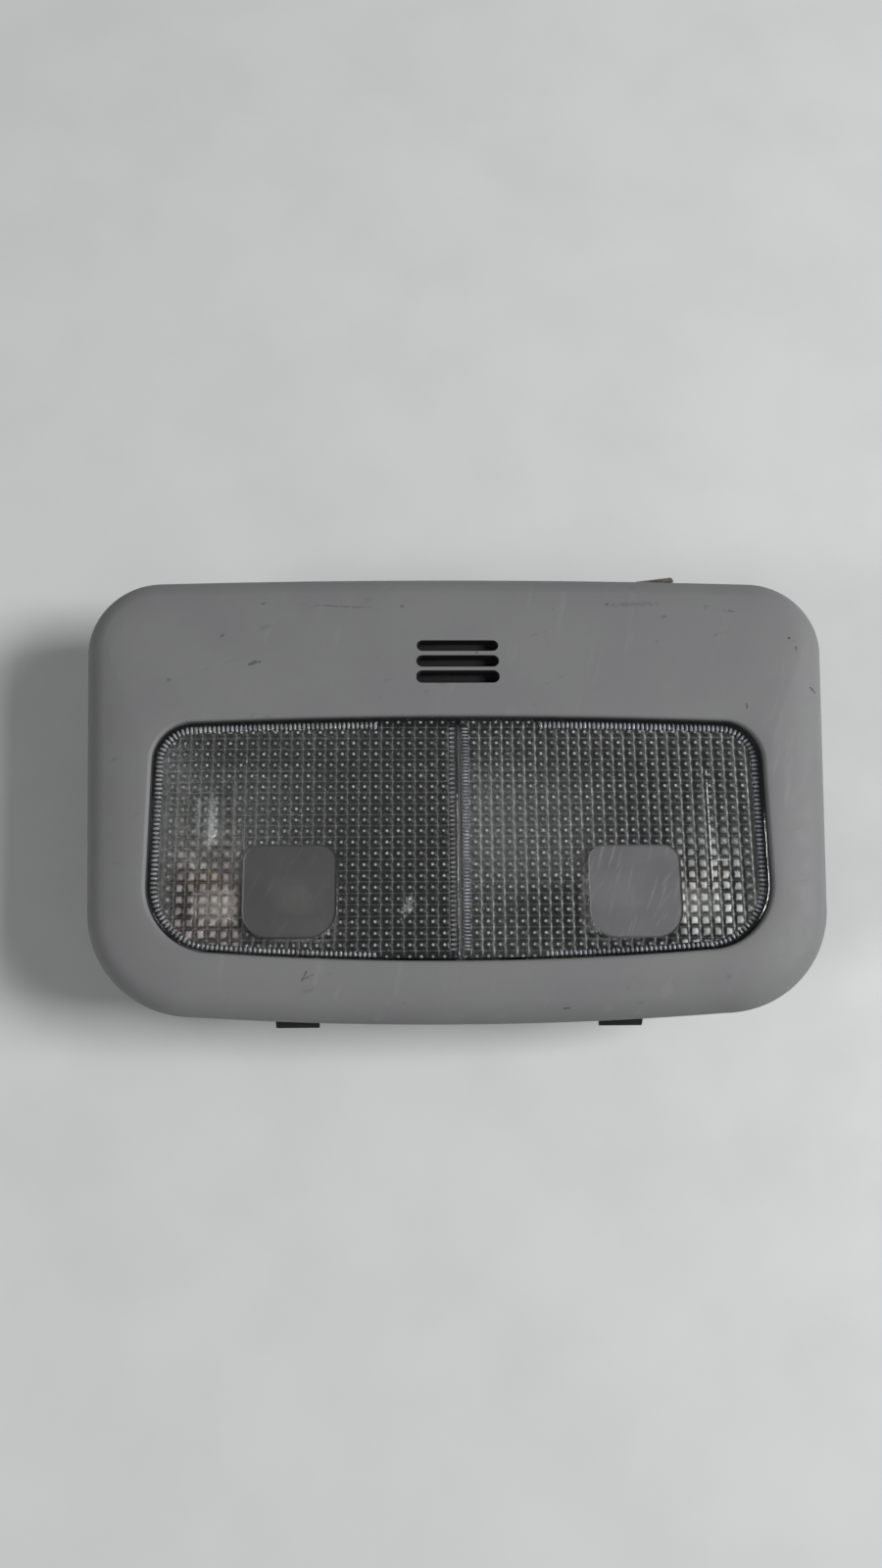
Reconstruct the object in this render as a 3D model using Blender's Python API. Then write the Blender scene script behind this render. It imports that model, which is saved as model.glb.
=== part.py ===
"""Overhead map lamp with two push lenses, modelled as an assembly.

Lengths are in metres. +X is to the right, +Y points to the microphone slots and +Z out of the lenses.
Shapes are drawn about the middle of the lens window, on the plane that the lamp lies on. The empty
named lamp_frame then moves that point so that the overall box is centred on the origin.
"""

import math
from dataclasses import dataclass, replace

import bmesh
import bpy
from mathutils import Matrix, Vector

MM = 0.001

# Clearances
SEAT_GAP = 0.3 * MM          # between pieces that touch
RUN_GAP = 0.3 * MM           # between pieces that move past each other
EMBED = 0.6 * MM             # how far a joined feature reaches into its wall

# Lens window, about which everything is placed
WINDOW_HALF_WIDTH = 68.2 * MM
WINDOW_TOP = 28.1 * MM
WINDOW_BOTTOM = -26.3 * MM
WINDOW_RADIUS_TOP = 9.0 * MM
WINDOW_RADIUS_BOTTOM = 15.0 * MM
WINDOW_BOW_TOP = 1.2 * MM
WINDOW_BOW_BOTTOM = 2.0 * MM

# Front bezel, as seen from the front: its borders round the window
SIDE_BORDER_TOP = 17.6 * MM
SIDE_BORDER_BOTTOM = 14.2 * MM
UPPER_BORDER = 35.6 * MM
LOWER_BORDER = 13.25 * MM
BEZEL_RADIUS_TOP = 17.0 * MM
BEZEL_RADIUS_BOTTOM = 24.0 * MM
BEZEL_BOW_TOP = 1.0 * MM
BEZEL_BOW_BOTTOM = 2.0 * MM

# Front bezel, in section
RIM_Z = 27.0 * MM
RIM_WALL_HEIGHT = 1.2 * MM
BEZEL_WALL = 2.2 * MM
EDGE_RADIUS = 8.0 * MM
EDGE_SWEEP = math.radians(72.0)
FACE_CROWN = 1.5 * MM
LIP_RADIUS = 0.8 * MM
FLANGE_WALL = 1.8 * MM
FLANGE_DEPTH = 7.0 * MM

# Microphone slots
SLOT_COUNT = 3
SLOT_LENGTH = 18.3 * MM
SLOT_WIDTH = 2.3 * MM
SLOT_PITCH = 3.75 * MM
SLOT_OFFSET = 13.0 * MM       # middle slot above the window

# Push lenses
LENS_GAP = 0.8 * MM
LENS_SPLIT = 0.6 * MM
LENS_RECESS = 0.3 * MM
LENS_PLATE = 2.0 * MM
LENS_SKIRT = 6.0 * MM
LENS_SKIRT_WALL = 1.6 * MM
LENS_EDGE = 0.8 * MM
PRISM_PITCH = 2.5 * MM
PRISM_DEPTH = 0.7 * MM
PRISM_RIDGE_RECESS = 0.1 * MM
PRISM_INNER_X = 2.25 * MM
PRISM_SIDE_BAND = 2.5 * MM   # plain border between the prisms and the lens's outer edge
PRISM_END_BAND = 1.35 * MM   # the same at its upper and lower edges
PAD_CELLS = 8
PAD_OUTER_COLUMNS = 7        # prism columns between the pad and the lens's outer edge
PAD_LOWER_ROWS = 1           # prism rows below the pad
PAD_RADIUS = 5.0 * MM
PAD_RECESS = 0.35 * MM
POST_TOP_SIDE = 7.0 * MM
POST_TIP_SIDE = 4.6 * MM

# Lens hinge
PIN_X = 11.4 * MM
PIN_RADIUS = 1.2 * MM
PIN_DEPTH = 4.0 * MM         # pin axis below the lens face
EAR_WIDTH = 5.4 * MM
EAR_HEIGHT = 3.6 * MM

# Lamp housing
HOUSING_WALL = 1.8 * MM
HOUSING_DRAFT = 3.0 * MM
HOUSING_BACK_WALL = 2.0 * MM
BACK_RECESS = 2.6 * MM
DIVIDER_WALL = 2.0 * MM
DIVIDER_DROP = 0.6 * MM
KEEPER_WIDTH = 2.2 * MM

# Screws that hold the housing to the bezel
SCREW_BORDER_SHARE = 0.55    # how far across the bezel's lower side border the screws stand
SCREW_UPPER_INSET = 8.1 * MM
SCREW_LOWER_INSET = 18.3 * MM
SCREW_EAR_RADIUS = 4.0 * MM
SCREW_EAR_Z = 21.0 * MM
SCREW_EAR_THICKNESS = 3.0 * MM
SCREW_SHANK_RADIUS = 1.2 * MM
SCREW_LENGTH = 10.0 * MM
SCREW_HEAD_RADIUS = 3.0 * MM
SCREW_HEAD_HEIGHT = 1.8 * MM
SCREW_RECESS_WIDTH = 0.8 * MM
SCREW_RECESS_LENGTH = 3.4 * MM
SCREW_RECESS_DEPTH = 1.0 * MM
SCREW_HEAD_TOP_SHARE = 0.7   # flat of the head, of its radius
BOSS_RADIUS = 3.0 * MM
BOSS_COVER = 0.4 * MM        # bezel skin left over a boss

# Switches, under the finger pads
SWITCH_SIDE = 14.0 * MM
SWITCH_BASE_HEIGHT = 1.5 * MM
SWITCH_CASE_HEIGHT = 10.3 * MM
SWITCH_CASE_WALL = 1.8 * MM
PLUNGER_STEM_SIDE = 6.0 * MM
PLUNGER_FLANGE_HEIGHT = 1.6 * MM
PLUNGER_NUB_RADIUS = 1.6 * MM
PLUNGER_NUB_HEIGHT = 1.5 * MM
POST_LENGTH = 9.4 * MM       # lens post below the lens plate
SPRING_RADIUS = 2.7 * MM
SPRING_WIRE_RADIUS = 0.3 * MM
SPRING_TURNS = 4.5
SPRING_STEPS_PER_TURN = 10

# Bulbs and reflectors
BULB_SIDE_INSET = 8.7 * MM    # bulb's axis in from the window's side
BULB_TIP_INSET = 10.1 * MM   # bulb's tip below the window's upper edge
BULB_Z = 17.0 * MM
BULB_RADIUS = 4.9 * MM
BULB_GLASS_LENGTH = 20.5 * MM
BULB_WEDGE_LENGTH = 6.5 * MM
BULB_WEDGE_THICKNESS = 2.4 * MM
BULB_WEDGE_WIDTH = 9.0 * MM
HOLDER_WIDTH = 8.8 * MM
HOLDER_LENGTH = 7.0 * MM
HOLDER_SHIFT = 2.4 * MM       # holder's middle nearer the lamp's centre than the bulb
HOLDER_TOP_Z = 20.0 * MM
HOLDER_GRIP = 0.6 * MM        # how far the bulb's wedge goes into the holder
HOLDER_PEG_RADIUS = 1.2 * MM
HOLDER_PEG_SPACING = 5.0 * MM
REFLECTOR_RADIUS = 6.4 * MM
REFLECTOR_WALL = 0.8 * MM
REFLECTOR_LENGTH = 20.0 * MM
CRADLE_WALL = 2.0 * MM
CRADLE_HEIGHT = 3.6 * MM
CRADLE_SHARES = (0.2, 0.8)   # where the cradles stand along the reflector

# Busbars, in the recess behind the housing
BAR_THICKNESS = 0.8 * MM
BAR_WIDTH = 4.0 * MM
FINGER_WIDTH = 4.6 * MM
FINGER_TOP_Z = 21.0 * MM
BLADE_TOP_Z = 10.0 * MM
SUPPLY_INSET = 22.1 * MM      # supply bar below the window's upper edge
GROUND_INSET = 11.8 * MM     # ground bar above the window's lower edge
GROUND_TURN_INSET = 9.6 * MM # ground bar's upper run below the window's upper edge

# Connector
CONNECTOR_INSET = 24.2 * MM   # connector's middle in from the window's left side
CONNECTOR_PIN_SPACING = 7.0 * MM
CONNECTOR_PIN_WIDTH = 2.2 * MM
CONNECTOR_PIN_RISE = 5.6 * MM
CONNECTOR_WIDTH = 15.0 * MM
CONNECTOR_HEIGHT = 9.8 * MM
CONNECTOR_DEPTH = 12.5 * MM
CONNECTOR_WALL = 1.4 * MM
CONNECTOR_OFFSET = 4.8 * MM  # from the housing wall to the back of the socket
CONNECTOR_PIN_LENGTH = 9.0 * MM
SHELF_THICKNESS = 1.7 * MM
SHELF_RAIL_HEIGHT = 4.0 * MM
SHELF_RAIL_WALL = 1.3 * MM

# Microphone
MIC_WIDTH = 24.0 * MM
MIC_LENGTH = 14.0 * MM
MIC_HEIGHT = 6.0 * MM
MIC_DROP = 3.2 * MM          # screen below the bezel's face at the slots
MIC_SCREEN = 0.5 * MM
MIC_CAPSULE_RADIUS = 4.7 * MM
MIC_CAPSULE_HEIGHT = 5.0 * MM
MIC_BOOT_WALL = 0.8 * MM
SNAP_WALL = 1.5 * MM
SNAP_HOOK = 1.2 * MM
SNAP_LENGTH = 10.0 * MM

# Spring clips on the upper edge
CLIP_X = 49.0 * MM
CLIP_WIDTH = 8.8 * MM
CLIP_THICKNESS = 0.6 * MM
CLIP_REACH = 2.4 * MM
CLIP_BENT_REACH_INNER = 3.05 * MM
CLIP_BENT_REACH_OUTER = 4.15 * MM
TOWER_SETBACK = 7.2 * MM     # tower's middle behind the bezel's upper edge
TOWER_WIDTH = 8.4 * MM
TOWER_THICKNESS = 1.8 * MM
TOWER_DROP = 11.0 * MM       # tower's end below the rim
CLIP_KNEE_DROP = 4.4 * MM
CLIP_TIP_DROP = 2.6 * MM
CLIP_TIP_RETURN = 1.4 * MM
CLIP_LEG_HEIGHT = 8.5 * MM
CLIP_BEND_SHARE = 1 / 3      # where the clip turns out, along its leg

# Claws on the lower edge
CLAW_X = 36.0 * MM
CLAW_WIDTH = 9.6 * MM
CLAW_REACH = 0.4 * MM
CLAW_PLATE = 1.8 * MM
CLAW_PLATE_HEIGHT = 13.0 * MM
CLAW_DROP = 2.4 * MM         # claw below the rim, where the roof panel's edge goes
CLAW_TIP_HEIGHT = 2.6 * MM
CLAW_FILLET_SHARE = 1.5      # slope under the claw's tip, of its height
PEG_RADIUS = 2.0 * MM
PEG_LENGTH = 2.6 * MM

# Mesh fineness
CORNER_STEPS = 6
EDGE_STEPS = 6
EDGE_RINGS = 4
FACE_RINGS = 3
ROUND_STEPS = 16
WELD = 0.02 * MM
SHARP_ANGLE = math.radians(35.0)
LEAST_MITRE = 0.4

# Places in plan worked out from the sizes above
BEZEL_HALF_WIDTH_TOP = WINDOW_HALF_WIDTH + SIDE_BORDER_TOP
BEZEL_HALF_WIDTH_BOTTOM = WINDOW_HALF_WIDTH + SIDE_BORDER_BOTTOM
BEZEL_TOP = WINDOW_TOP + UPPER_BORDER
BEZEL_BOTTOM = WINDOW_BOTTOM - LOWER_BORDER
SLOT_MIDDLE_Y = WINDOW_TOP + SLOT_OFFSET
SCREW_X = WINDOW_HALF_WIDTH + SCREW_BORDER_SHARE * min(SIDE_BORDER_TOP, SIDE_BORDER_BOTTOM)
SCREW_UPPER_Y = WINDOW_TOP - SCREW_UPPER_INSET
SCREW_LOWER_Y = WINDOW_BOTTOM + SCREW_LOWER_INSET
PRISM_TOP_Y = WINDOW_TOP - LENS_GAP - PRISM_END_BAND
PRISM_BOTTOM_Y = WINDOW_BOTTOM + LENS_GAP + PRISM_END_BAND
PRISM_OUTER_X = WINDOW_HALF_WIDTH - LENS_GAP - PRISM_SIDE_BAND
PRISM_COLUMNS = int((PRISM_OUTER_X - PRISM_INNER_X) / PRISM_PITCH)
PRISM_ROWS = int((PRISM_TOP_Y - PRISM_BOTTOM_Y) / PRISM_PITCH)
PAD_FIRST_COLUMN = PRISM_COLUMNS - PAD_OUTER_COLUMNS - PAD_CELLS
PAD_FIRST_ROW = PRISM_ROWS - PAD_LOWER_ROWS - PAD_CELLS
CONNECTOR_X = CONNECTOR_INSET - WINDOW_HALF_WIDTH
BULB_X = WINDOW_HALF_WIDTH - BULB_SIDE_INSET
BULB_TIP_Y = WINDOW_TOP - BULB_TIP_INSET
SUPPLY_Y = WINDOW_TOP - SUPPLY_INSET
GROUND_Y = WINDOW_BOTTOM + GROUND_INSET
GROUND_TURN_Y = WINDOW_TOP - GROUND_TURN_INSET

# Levels worked out from the sizes above
FACE_Z = RIM_Z + RIM_WALL_HEIGHT + EDGE_RADIUS * math.sin(EDGE_SWEEP) + FACE_CROWN
SHOULDER_Z = FACE_Z - FACE_CROWN - BEZEL_WALL + EMBED  # inside the bezel's shell at its shoulder
LENS_Z = FACE_Z - LENS_RECESS
LENS_PLATE_Z = LENS_Z - LENS_PLATE
LENS_SKIRT_Z = LENS_Z - LENS_SKIRT
PIN_Z = LENS_Z - PIN_DEPTH
FLANGE_Z = FACE_Z - FLANGE_DEPTH
HOUSING_TOP_Z = FLANGE_Z - SEAT_GAP
FLOOR_Z = BACK_RECESS + HOUSING_BACK_WALL
BAR_TOP_Z = BACK_RECESS - SEAT_GAP
BAR_BOTTOM_Z = BAR_TOP_Z - BAR_THICKNESS
PAD_X = PRISM_INNER_X + (PAD_FIRST_COLUMN + PAD_CELLS / 2) * PRISM_PITCH
PAD_Y = PRISM_TOP_Y - (PAD_FIRST_ROW + PAD_CELLS / 2) * PRISM_PITCH
POST_TIP_Z = LENS_PLATE_Z - POST_LENGTH
SWITCH_BASE_Z = FLOOR_Z + SEAT_GAP
SWITCH_CASE_Z = SWITCH_BASE_Z + SWITCH_BASE_HEIGHT + SEAT_GAP
SWITCH_CASE_TOP_Z = SWITCH_CASE_Z + SWITCH_CASE_HEIGHT
SWITCH_ROOF_Z = SWITCH_CASE_TOP_Z - SWITCH_CASE_WALL
PLUNGER_FLANGE_Z = SWITCH_ROOF_Z - RUN_GAP - PLUNGER_FLANGE_HEIGHT
WEDGE_END_Y = BULB_TIP_Y - BULB_GLASS_LENGTH - BULB_WEDGE_LENGTH
FINGER_Y = WEDGE_END_Y + BULB_WEDGE_LENGTH / 2
FINGER_OFFSET = BULB_WEDGE_THICKNESS / 2 + SEAT_GAP + BAR_THICKNESS / 2
MIC_SCREEN_TOP_Z = FACE_Z - MIC_DROP
MIC_HOLDER_TOP_Z = MIC_SCREEN_TOP_Z - MIC_SCREEN - SEAT_GAP
UPPER_EXTREME = BEZEL_TOP + max(CLIP_REACH, CLIP_BENT_REACH_INNER, CLIP_BENT_REACH_OUTER)
LOWER_EXTREME = BEZEL_BOTTOM - CLAW_REACH
WINDOW_Y = -(UPPER_EXTREME + LOWER_EXTREME) / 2


@dataclass(frozen=True)
class Outline:
    """A rounded, slightly bowed and tapered rectangle, symmetric about x = 0."""

    half_top: float
    half_bottom: float
    top: float
    bottom: float
    radius_top: float
    radius_bottom: float
    bow_top: float
    bow_bottom: float

    def grown(self, distance):
        """The outline moved outwards by a distance, or inwards by a negative one."""
        return replace(
            self,
            half_top=self.half_top + distance,
            half_bottom=self.half_bottom + distance,
            top=self.top + distance,
            bottom=self.bottom - distance,
            radius_top=max(self.radius_top + distance, EMBED),
            radius_bottom=max(self.radius_bottom + distance, EMBED),
        )

    def top_y(self, x):
        """Height of the upper edge at x, between its corners."""
        flat = self.half_top - self.radius_top
        return self.top - self.bow_top * (x / flat) ** 2

    def bottom_y(self, x):
        """Height of the lower edge at x, between its corners."""
        flat = self.half_bottom - self.radius_bottom
        return self.bottom + self.bow_bottom * (x / flat) ** 2

    def side_x(self, y):
        """The right-hand edge at height y, between its corners."""
        low = self.bottom_y(self.half_bottom - self.radius_bottom) + self.radius_bottom
        high = self.top_y(self.half_top - self.radius_top) - self.radius_top
        return self.half_bottom + (self.half_top - self.half_bottom) * (y - low) / (high - low)

    def right_half(self, inner=0.0):
        """Points of the part right of x = inner, anticlockwise from the lower edge."""
        flat_bottom = self.half_bottom - self.radius_bottom
        flat_top = self.half_top - self.radius_top
        points = []
        for step in range(EDGE_STEPS):
            x = inner + (flat_bottom - inner) * step / EDGE_STEPS
            points.append((x, self.bottom_y(x)))
        for step in range(CORNER_STEPS + 1):
            angle = -math.pi / 2 + math.pi / 2 * step / CORNER_STEPS
            centre_y = self.bottom_y(flat_bottom) + self.radius_bottom
            points.append((flat_bottom + self.radius_bottom * math.cos(angle),
                           centre_y + self.radius_bottom * math.sin(angle)))
        for step in range(CORNER_STEPS + 1):
            angle = math.pi / 2 * step / CORNER_STEPS
            centre_y = self.top_y(flat_top) - self.radius_top
            points.append((flat_top + self.radius_top * math.cos(angle),
                           centre_y + self.radius_top * math.sin(angle)))
        for step in range(EDGE_STEPS):
            x = flat_top + (inner - flat_top) * (step + 1) / EDGE_STEPS
            points.append((x, self.top_y(x)))
        return points

    def points(self):
        """The whole outline, anticlockwise."""
        right = self.right_half()
        left = [(-x, y) for x, y in reversed(right[1:-1])]
        return right + left

    def ring(self, z):
        """The whole outline as points at height z."""
        return [Vector((x, y, z)) for x, y in self.points()]


BEZEL = Outline(BEZEL_HALF_WIDTH_TOP, BEZEL_HALF_WIDTH_BOTTOM, BEZEL_TOP, BEZEL_BOTTOM,
                BEZEL_RADIUS_TOP, BEZEL_RADIUS_BOTTOM, BEZEL_BOW_TOP, BEZEL_BOW_BOTTOM)
WINDOW = Outline(WINDOW_HALF_WIDTH, WINDOW_HALF_WIDTH, WINDOW_TOP, WINDOW_BOTTOM,
                 WINDOW_RADIUS_TOP, WINDOW_RADIUS_BOTTOM, WINDOW_BOW_TOP, WINDOW_BOW_BOTTOM)
LENS = WINDOW.grown(-LENS_GAP)


def clear_scene():
    """Remove every object that the file holds."""
    for item in list(bpy.data.objects):
        bpy.data.objects.remove(item, do_unlink=True)


def material(name, colour, roughness, metallic=0.0, alpha=1.0):
    """A plain material in the piece's own colour."""
    made = bpy.data.materials.new(name)
    made.use_nodes = True
    shader = made.node_tree.nodes["Principled BSDF"]
    shader.inputs["Base Color"].default_value = (*colour, 1.0)
    shader.inputs["Roughness"].default_value = roughness
    shader.inputs["Metallic"].default_value = metallic
    shader.inputs["Alpha"].default_value = alpha
    return made


def make_object(name, bm, finish=None):
    """Turn a bmesh into a named object, with smooth round faces and sharp edges."""
    bmesh.ops.recalc_face_normals(bm, faces=bm.faces)
    mesh = bpy.data.meshes.new(name)
    bm.to_mesh(mesh)
    bm.free()
    made = bpy.data.objects.new(name, mesh)
    bpy.context.scene.collection.objects.link(made)
    if finish:
        mesh.materials.append(finish)
    return made


def loft(rings, ring_loop=False):
    """Skin a list of rings. The ends are capped, or joined to each other for a ring loop."""
    bm = bmesh.new()
    rows = [[bm.verts.new(point) for point in ring] for ring in rings]
    pairs = list(zip(rows, rows[1:]))
    if ring_loop:
        pairs.append((rows[-1], rows[0]))
    else:
        bm.faces.new(rows[0])
        bm.faces.new(rows[-1])
    for lower, upper in pairs:
        for index in range(len(lower)):
            after = (index + 1) % len(lower)
            bm.faces.new((lower[index], lower[after], upper[after], upper[index]))
    return bm


def box(low, high):
    """A block between two corners."""
    middle = (Vector(low) + Vector(high)) / 2
    size = Vector(high) - Vector(low)
    bm = bmesh.new()
    placing = Matrix.Translation(middle) @ Matrix.Diagonal((*size, 1.0))
    bmesh.ops.create_cube(bm, size=1.0, matrix=placing)
    return bm


def cylinder(centre, radius, length, axis="Z"):
    """A round bar from centre along the z axis or the y axis."""
    turn = Matrix.Rotation(-math.pi / 2, 4, "X") if axis == "Y" else Matrix()
    bm = bmesh.new()
    placing = Matrix.Translation(centre) @ turn @ Matrix.Translation((0, 0, length / 2))
    bmesh.ops.create_cone(bm, cap_ends=True, segments=ROUND_STEPS, radius1=radius, radius2=radius,
                          depth=length, matrix=placing)
    return bm


def plan_solid(points, low_z, high_z):
    """A flat outline in plan, extruded upwards."""
    return loft([[Vector((x, y, z)) for x, y in points] for z in (low_z, high_z)])


def side_solid(points, low_x, high_x):
    """A profile in y and z, extruded along x."""
    return loft([[Vector((x, y, z)) for y, z in points] for x in (low_x, high_x)])


def turned(profile, centre):
    """A body turned about the z axis from a profile of radius and height, between two poles."""
    rings = []
    for radius, height in profile:
        ring = []
        for step in range(ROUND_STEPS):
            angle = 2 * math.pi * step / ROUND_STEPS
            point = Vector((radius * math.cos(angle), radius * math.sin(angle), height))
            ring.append(Vector(centre) + point)
        rings.append(ring)
    return loft(rings)


def rounded_square(centre, side, radius, low_z, high_z):
    """A square prism with rounded upright edges."""
    half = side / 2 - radius
    points = []
    for corner in range(4):
        turn = corner * math.pi / 2
        corner_x = half if corner in (0, 3) else -half
        corner_y = half if corner in (0, 1) else -half
        for step in range(CORNER_STEPS + 1):
            angle = turn + math.pi / 2 * step / CORNER_STEPS
            points.append((centre[0] + corner_x + radius * math.cos(angle),
                           centre[1] + corner_y + radius * math.sin(angle)))
    return plan_solid(points, low_z, high_z)


def strip_sides(path, thickness):
    """Both sides of a bent strip: the path moved by half its thickness, with mitred bends."""
    sides = []
    for hand in (1, -1):
        side = []
        for index, point in enumerate(path):
            before = Vector(point) - Vector(path[max(index - 1, 0)])
            after = Vector(path[min(index + 1, len(path) - 1)]) - Vector(point)
            before = (before if before.length else after).normalized()
            after = (after if after.length else before).normalized()
            normal_before = Vector((-before.y, before.x))
            normal_after = Vector((-after.y, after.x))
            mitre = (normal_before + normal_after).normalized()
            stretch = 1 / max(mitre.dot(normal_before), LEAST_MITRE)
            side.append(Vector(point) + mitre * stretch * hand * thickness / 2)
        sides.append(side)
    return sides[0] + list(reversed(sides[1]))


def bent_strip(low_x, low_path, high_x, high_path, thickness):
    """Sheet metal bent in the y-z plane, whose two edges may follow different paths."""
    low = [Vector((low_x, p.x, p.y)) for p in strip_sides(low_path, thickness)]
    high = [Vector((high_x, p.x, p.y)) for p in strip_sides(high_path, thickness)]
    return loft([low, high])


def combine(target, bm, operation):
    """Join a shape to an object, or cut it out of the object, and keep the plain result."""
    tool = make_object(target.name + "_tool", bm)
    modifier = target.modifiers.new(operation.lower(), "BOOLEAN")
    modifier.operation = operation
    modifier.solver = "EXACT"
    modifier.object = tool
    evaluated = target.evaluated_get(bpy.context.evaluated_depsgraph_get())
    result = bpy.data.meshes.new_from_object(evaluated)
    target.modifiers.clear()
    old = target.data
    target.data = result
    bpy.data.meshes.remove(old)
    bpy.data.objects.remove(tool, do_unlink=True)


def join(target, bm):
    """Weld a shape onto an object."""
    combine(target, bm, "UNION")


def cut(target, bm):
    """Take a shape out of an object."""
    combine(target, bm, "DIFFERENCE")


def weld_slivers(mesh):
    """Close up the very short edges that a cut can leave."""
    bm = bmesh.new()
    bm.from_mesh(mesh)
    bmesh.ops.triangulate(bm, faces=[face for face in bm.faces if len(face.verts) > 4])
    bmesh.ops.dissolve_degenerate(bm, dist=WELD, edges=bm.edges)
    bm.to_mesh(mesh)
    bm.free()


def place(piece, frame, origin=(0.0, 0.0, 0.0)):
    """Hang a piece on the lamp's frame, with its own origin at a chosen point."""
    piece.data.transform(Matrix.Translation(-Vector(origin)))
    weld_slivers(piece.data)
    piece.parent = frame
    piece.location = origin
    piece.data.shade_smooth()
    piece.data.set_sharp_from_angle(angle=SHARP_ANGLE)
    return piece


def mirrored(bm):
    """The same shape on the lamp's left side."""
    bmesh.ops.scale(bm, vec=(-1, 1, 1), verts=bm.verts)
    bmesh.ops.reverse_faces(bm, faces=bm.faces)
    return bm


def on_side(bm, hand):
    """A right-hand shape for hand 1, or its mirror image for hand -1."""
    return bm if hand > 0 else mirrored(bm)


def bezel_section():
    """The rings of the bezel's shell: over its outer skin to the window, and back inside."""
    rings = [BEZEL.ring(RIM_Z)]
    edge_z = RIM_Z + RIM_WALL_HEIGHT
    for step in range(EDGE_RINGS + 1):
        angle = EDGE_SWEEP * step / EDGE_RINGS
        edge = BEZEL.grown(EDGE_RADIUS * (math.cos(angle) - 1))
        rings.append(edge.ring(edge_z + EDGE_RADIUS * math.sin(angle)))
    shoulder = rings[-1]
    lip = WINDOW.grown(LIP_RADIUS).ring(FACE_Z)
    for step in range(1, FACE_RINGS + 1):
        rings.append(crowned(shoulder, lip, step / FACE_RINGS))
    for angle in (math.radians(45), math.radians(90)):
        lip_step = LIP_RADIUS * (1 - math.sin(angle))
        rings.append(WINDOW.grown(lip_step).ring(FACE_Z - LIP_RADIUS * (1 - math.cos(angle))))
    rings.append(WINDOW.ring(FLANGE_Z))
    rings.append(WINDOW.grown(FLANGE_WALL).ring(FLANGE_Z))
    inner_radius = EDGE_RADIUS - BEZEL_WALL
    inner_start = WINDOW.grown(FLANGE_WALL).ring(FACE_Z - BEZEL_WALL)
    inner_edge = []
    for step in range(EDGE_RINGS + 1):
        angle = EDGE_SWEEP * step / EDGE_RINGS
        inset = EDGE_RADIUS - inner_radius * math.cos(angle)
        inner_edge.append(BEZEL.grown(-inset).ring(edge_z + inner_radius * math.sin(angle)))
    for step in range(FACE_RINGS, 0, -1):
        rings.append(crowned(inner_edge[-1], inner_start, step / FACE_RINGS))
    rings.extend(reversed(inner_edge))
    rings.append(BEZEL.grown(-BEZEL_WALL).ring(RIM_Z))
    return rings


def crowned(outer, inner, share):
    """A ring between two rings, on a crown that flattens towards the inner one."""
    rise = 1 - (1 - share) ** 2
    ring = []
    for start, end in zip(outer, inner):
        point = start.lerp(end, share)
        point.z = start.z + (end.z - start.z) * rise
        ring.append(point)
    return ring


def face_z(y):
    """Height of the bezel's face on its middle line above the window."""
    shoulder_y = BEZEL_TOP - EDGE_RADIUS * (1 - math.cos(EDGE_SWEEP))
    lip_y = WINDOW_TOP + LIP_RADIUS
    share = (shoulder_y - y) / (shoulder_y - lip_y)
    return FACE_Z - FACE_CROWN * (1 - share) ** 2


def skin_z(inset):
    """Height of the bezel's outer skin at a distance in from its edge, as far as the shoulder."""
    if inset >= EDGE_RADIUS * (1 - math.cos(EDGE_SWEEP)):
        return FACE_Z - FACE_CROWN
    return RIM_Z + RIM_WALL_HEIGHT + EDGE_RADIUS * math.sin(math.acos(1 - inset / EDGE_RADIUS))


def slot_prism(y):
    """A stadium-shaped cutter for one microphone slot."""
    half = SLOT_LENGTH / 2 - SLOT_WIDTH / 2
    points = []
    for end in (1, -1):
        for step in range(CORNER_STEPS + 1):
            angle = math.pi * step / CORNER_STEPS - math.pi / 2 * end
            x = end * half + SLOT_WIDTH / 2 * math.cos(angle)
            points.append((x, y + SLOT_WIDTH / 2 * math.sin(angle)))
    return plan_solid(points, FLANGE_Z, FACE_Z + SEAT_GAP)


def pin_slot(hand, upper):
    """The slot in the window flange that a lens pin turns in, open at the back."""
    edge = WINDOW.top_y(PIN_X) if upper else WINDOW.bottom_y(PIN_X)
    out = 1 if upper else -1
    half = PIN_RADIUS + RUN_GAP
    x = hand * PIN_X
    points = [(x + half, FLANGE_Z - EMBED), (x + half, PIN_Z)]
    for step in range(1, CORNER_STEPS):
        angle = math.pi * step / CORNER_STEPS
        points.append((x + half * math.cos(angle), PIN_Z + half * math.sin(angle)))
    points.extend([(x - half, PIN_Z), (x - half, FLANGE_Z - EMBED)])
    near = edge - out * LENS_GAP
    far = edge + out * (FLANGE_WALL + EMBED)
    return loft([[Vector((px, y, pz)) for px, pz in points] for y in (near, far)])


def snap_arm(hand):
    """A bezel arm that holds one end of the microphone holder."""
    inner = MIC_WIDTH / 2 + SEAT_GAP
    holder_low = MIC_HOLDER_TOP_Z - MIC_HEIGHT
    top = face_z(SLOT_MIDDLE_Y) - BEZEL_WALL + EMBED
    hook_top = holder_low - SEAT_GAP
    hook_low = hook_top - SNAP_HOOK
    points = [(inner, top), (inner, hook_top), (inner - SNAP_HOOK, hook_top), (inner, hook_low),
              (inner + SNAP_WALL, hook_low), (inner + SNAP_WALL, top)]
    low = SLOT_MIDDLE_Y - SNAP_LENGTH / 2
    high = SLOT_MIDDLE_Y + SNAP_LENGTH / 2
    bm = loft([[Vector((x, low, z)) for x, z in points], [Vector((x, high, z)) for x, z in points]])
    return on_side(bm, hand)


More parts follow.
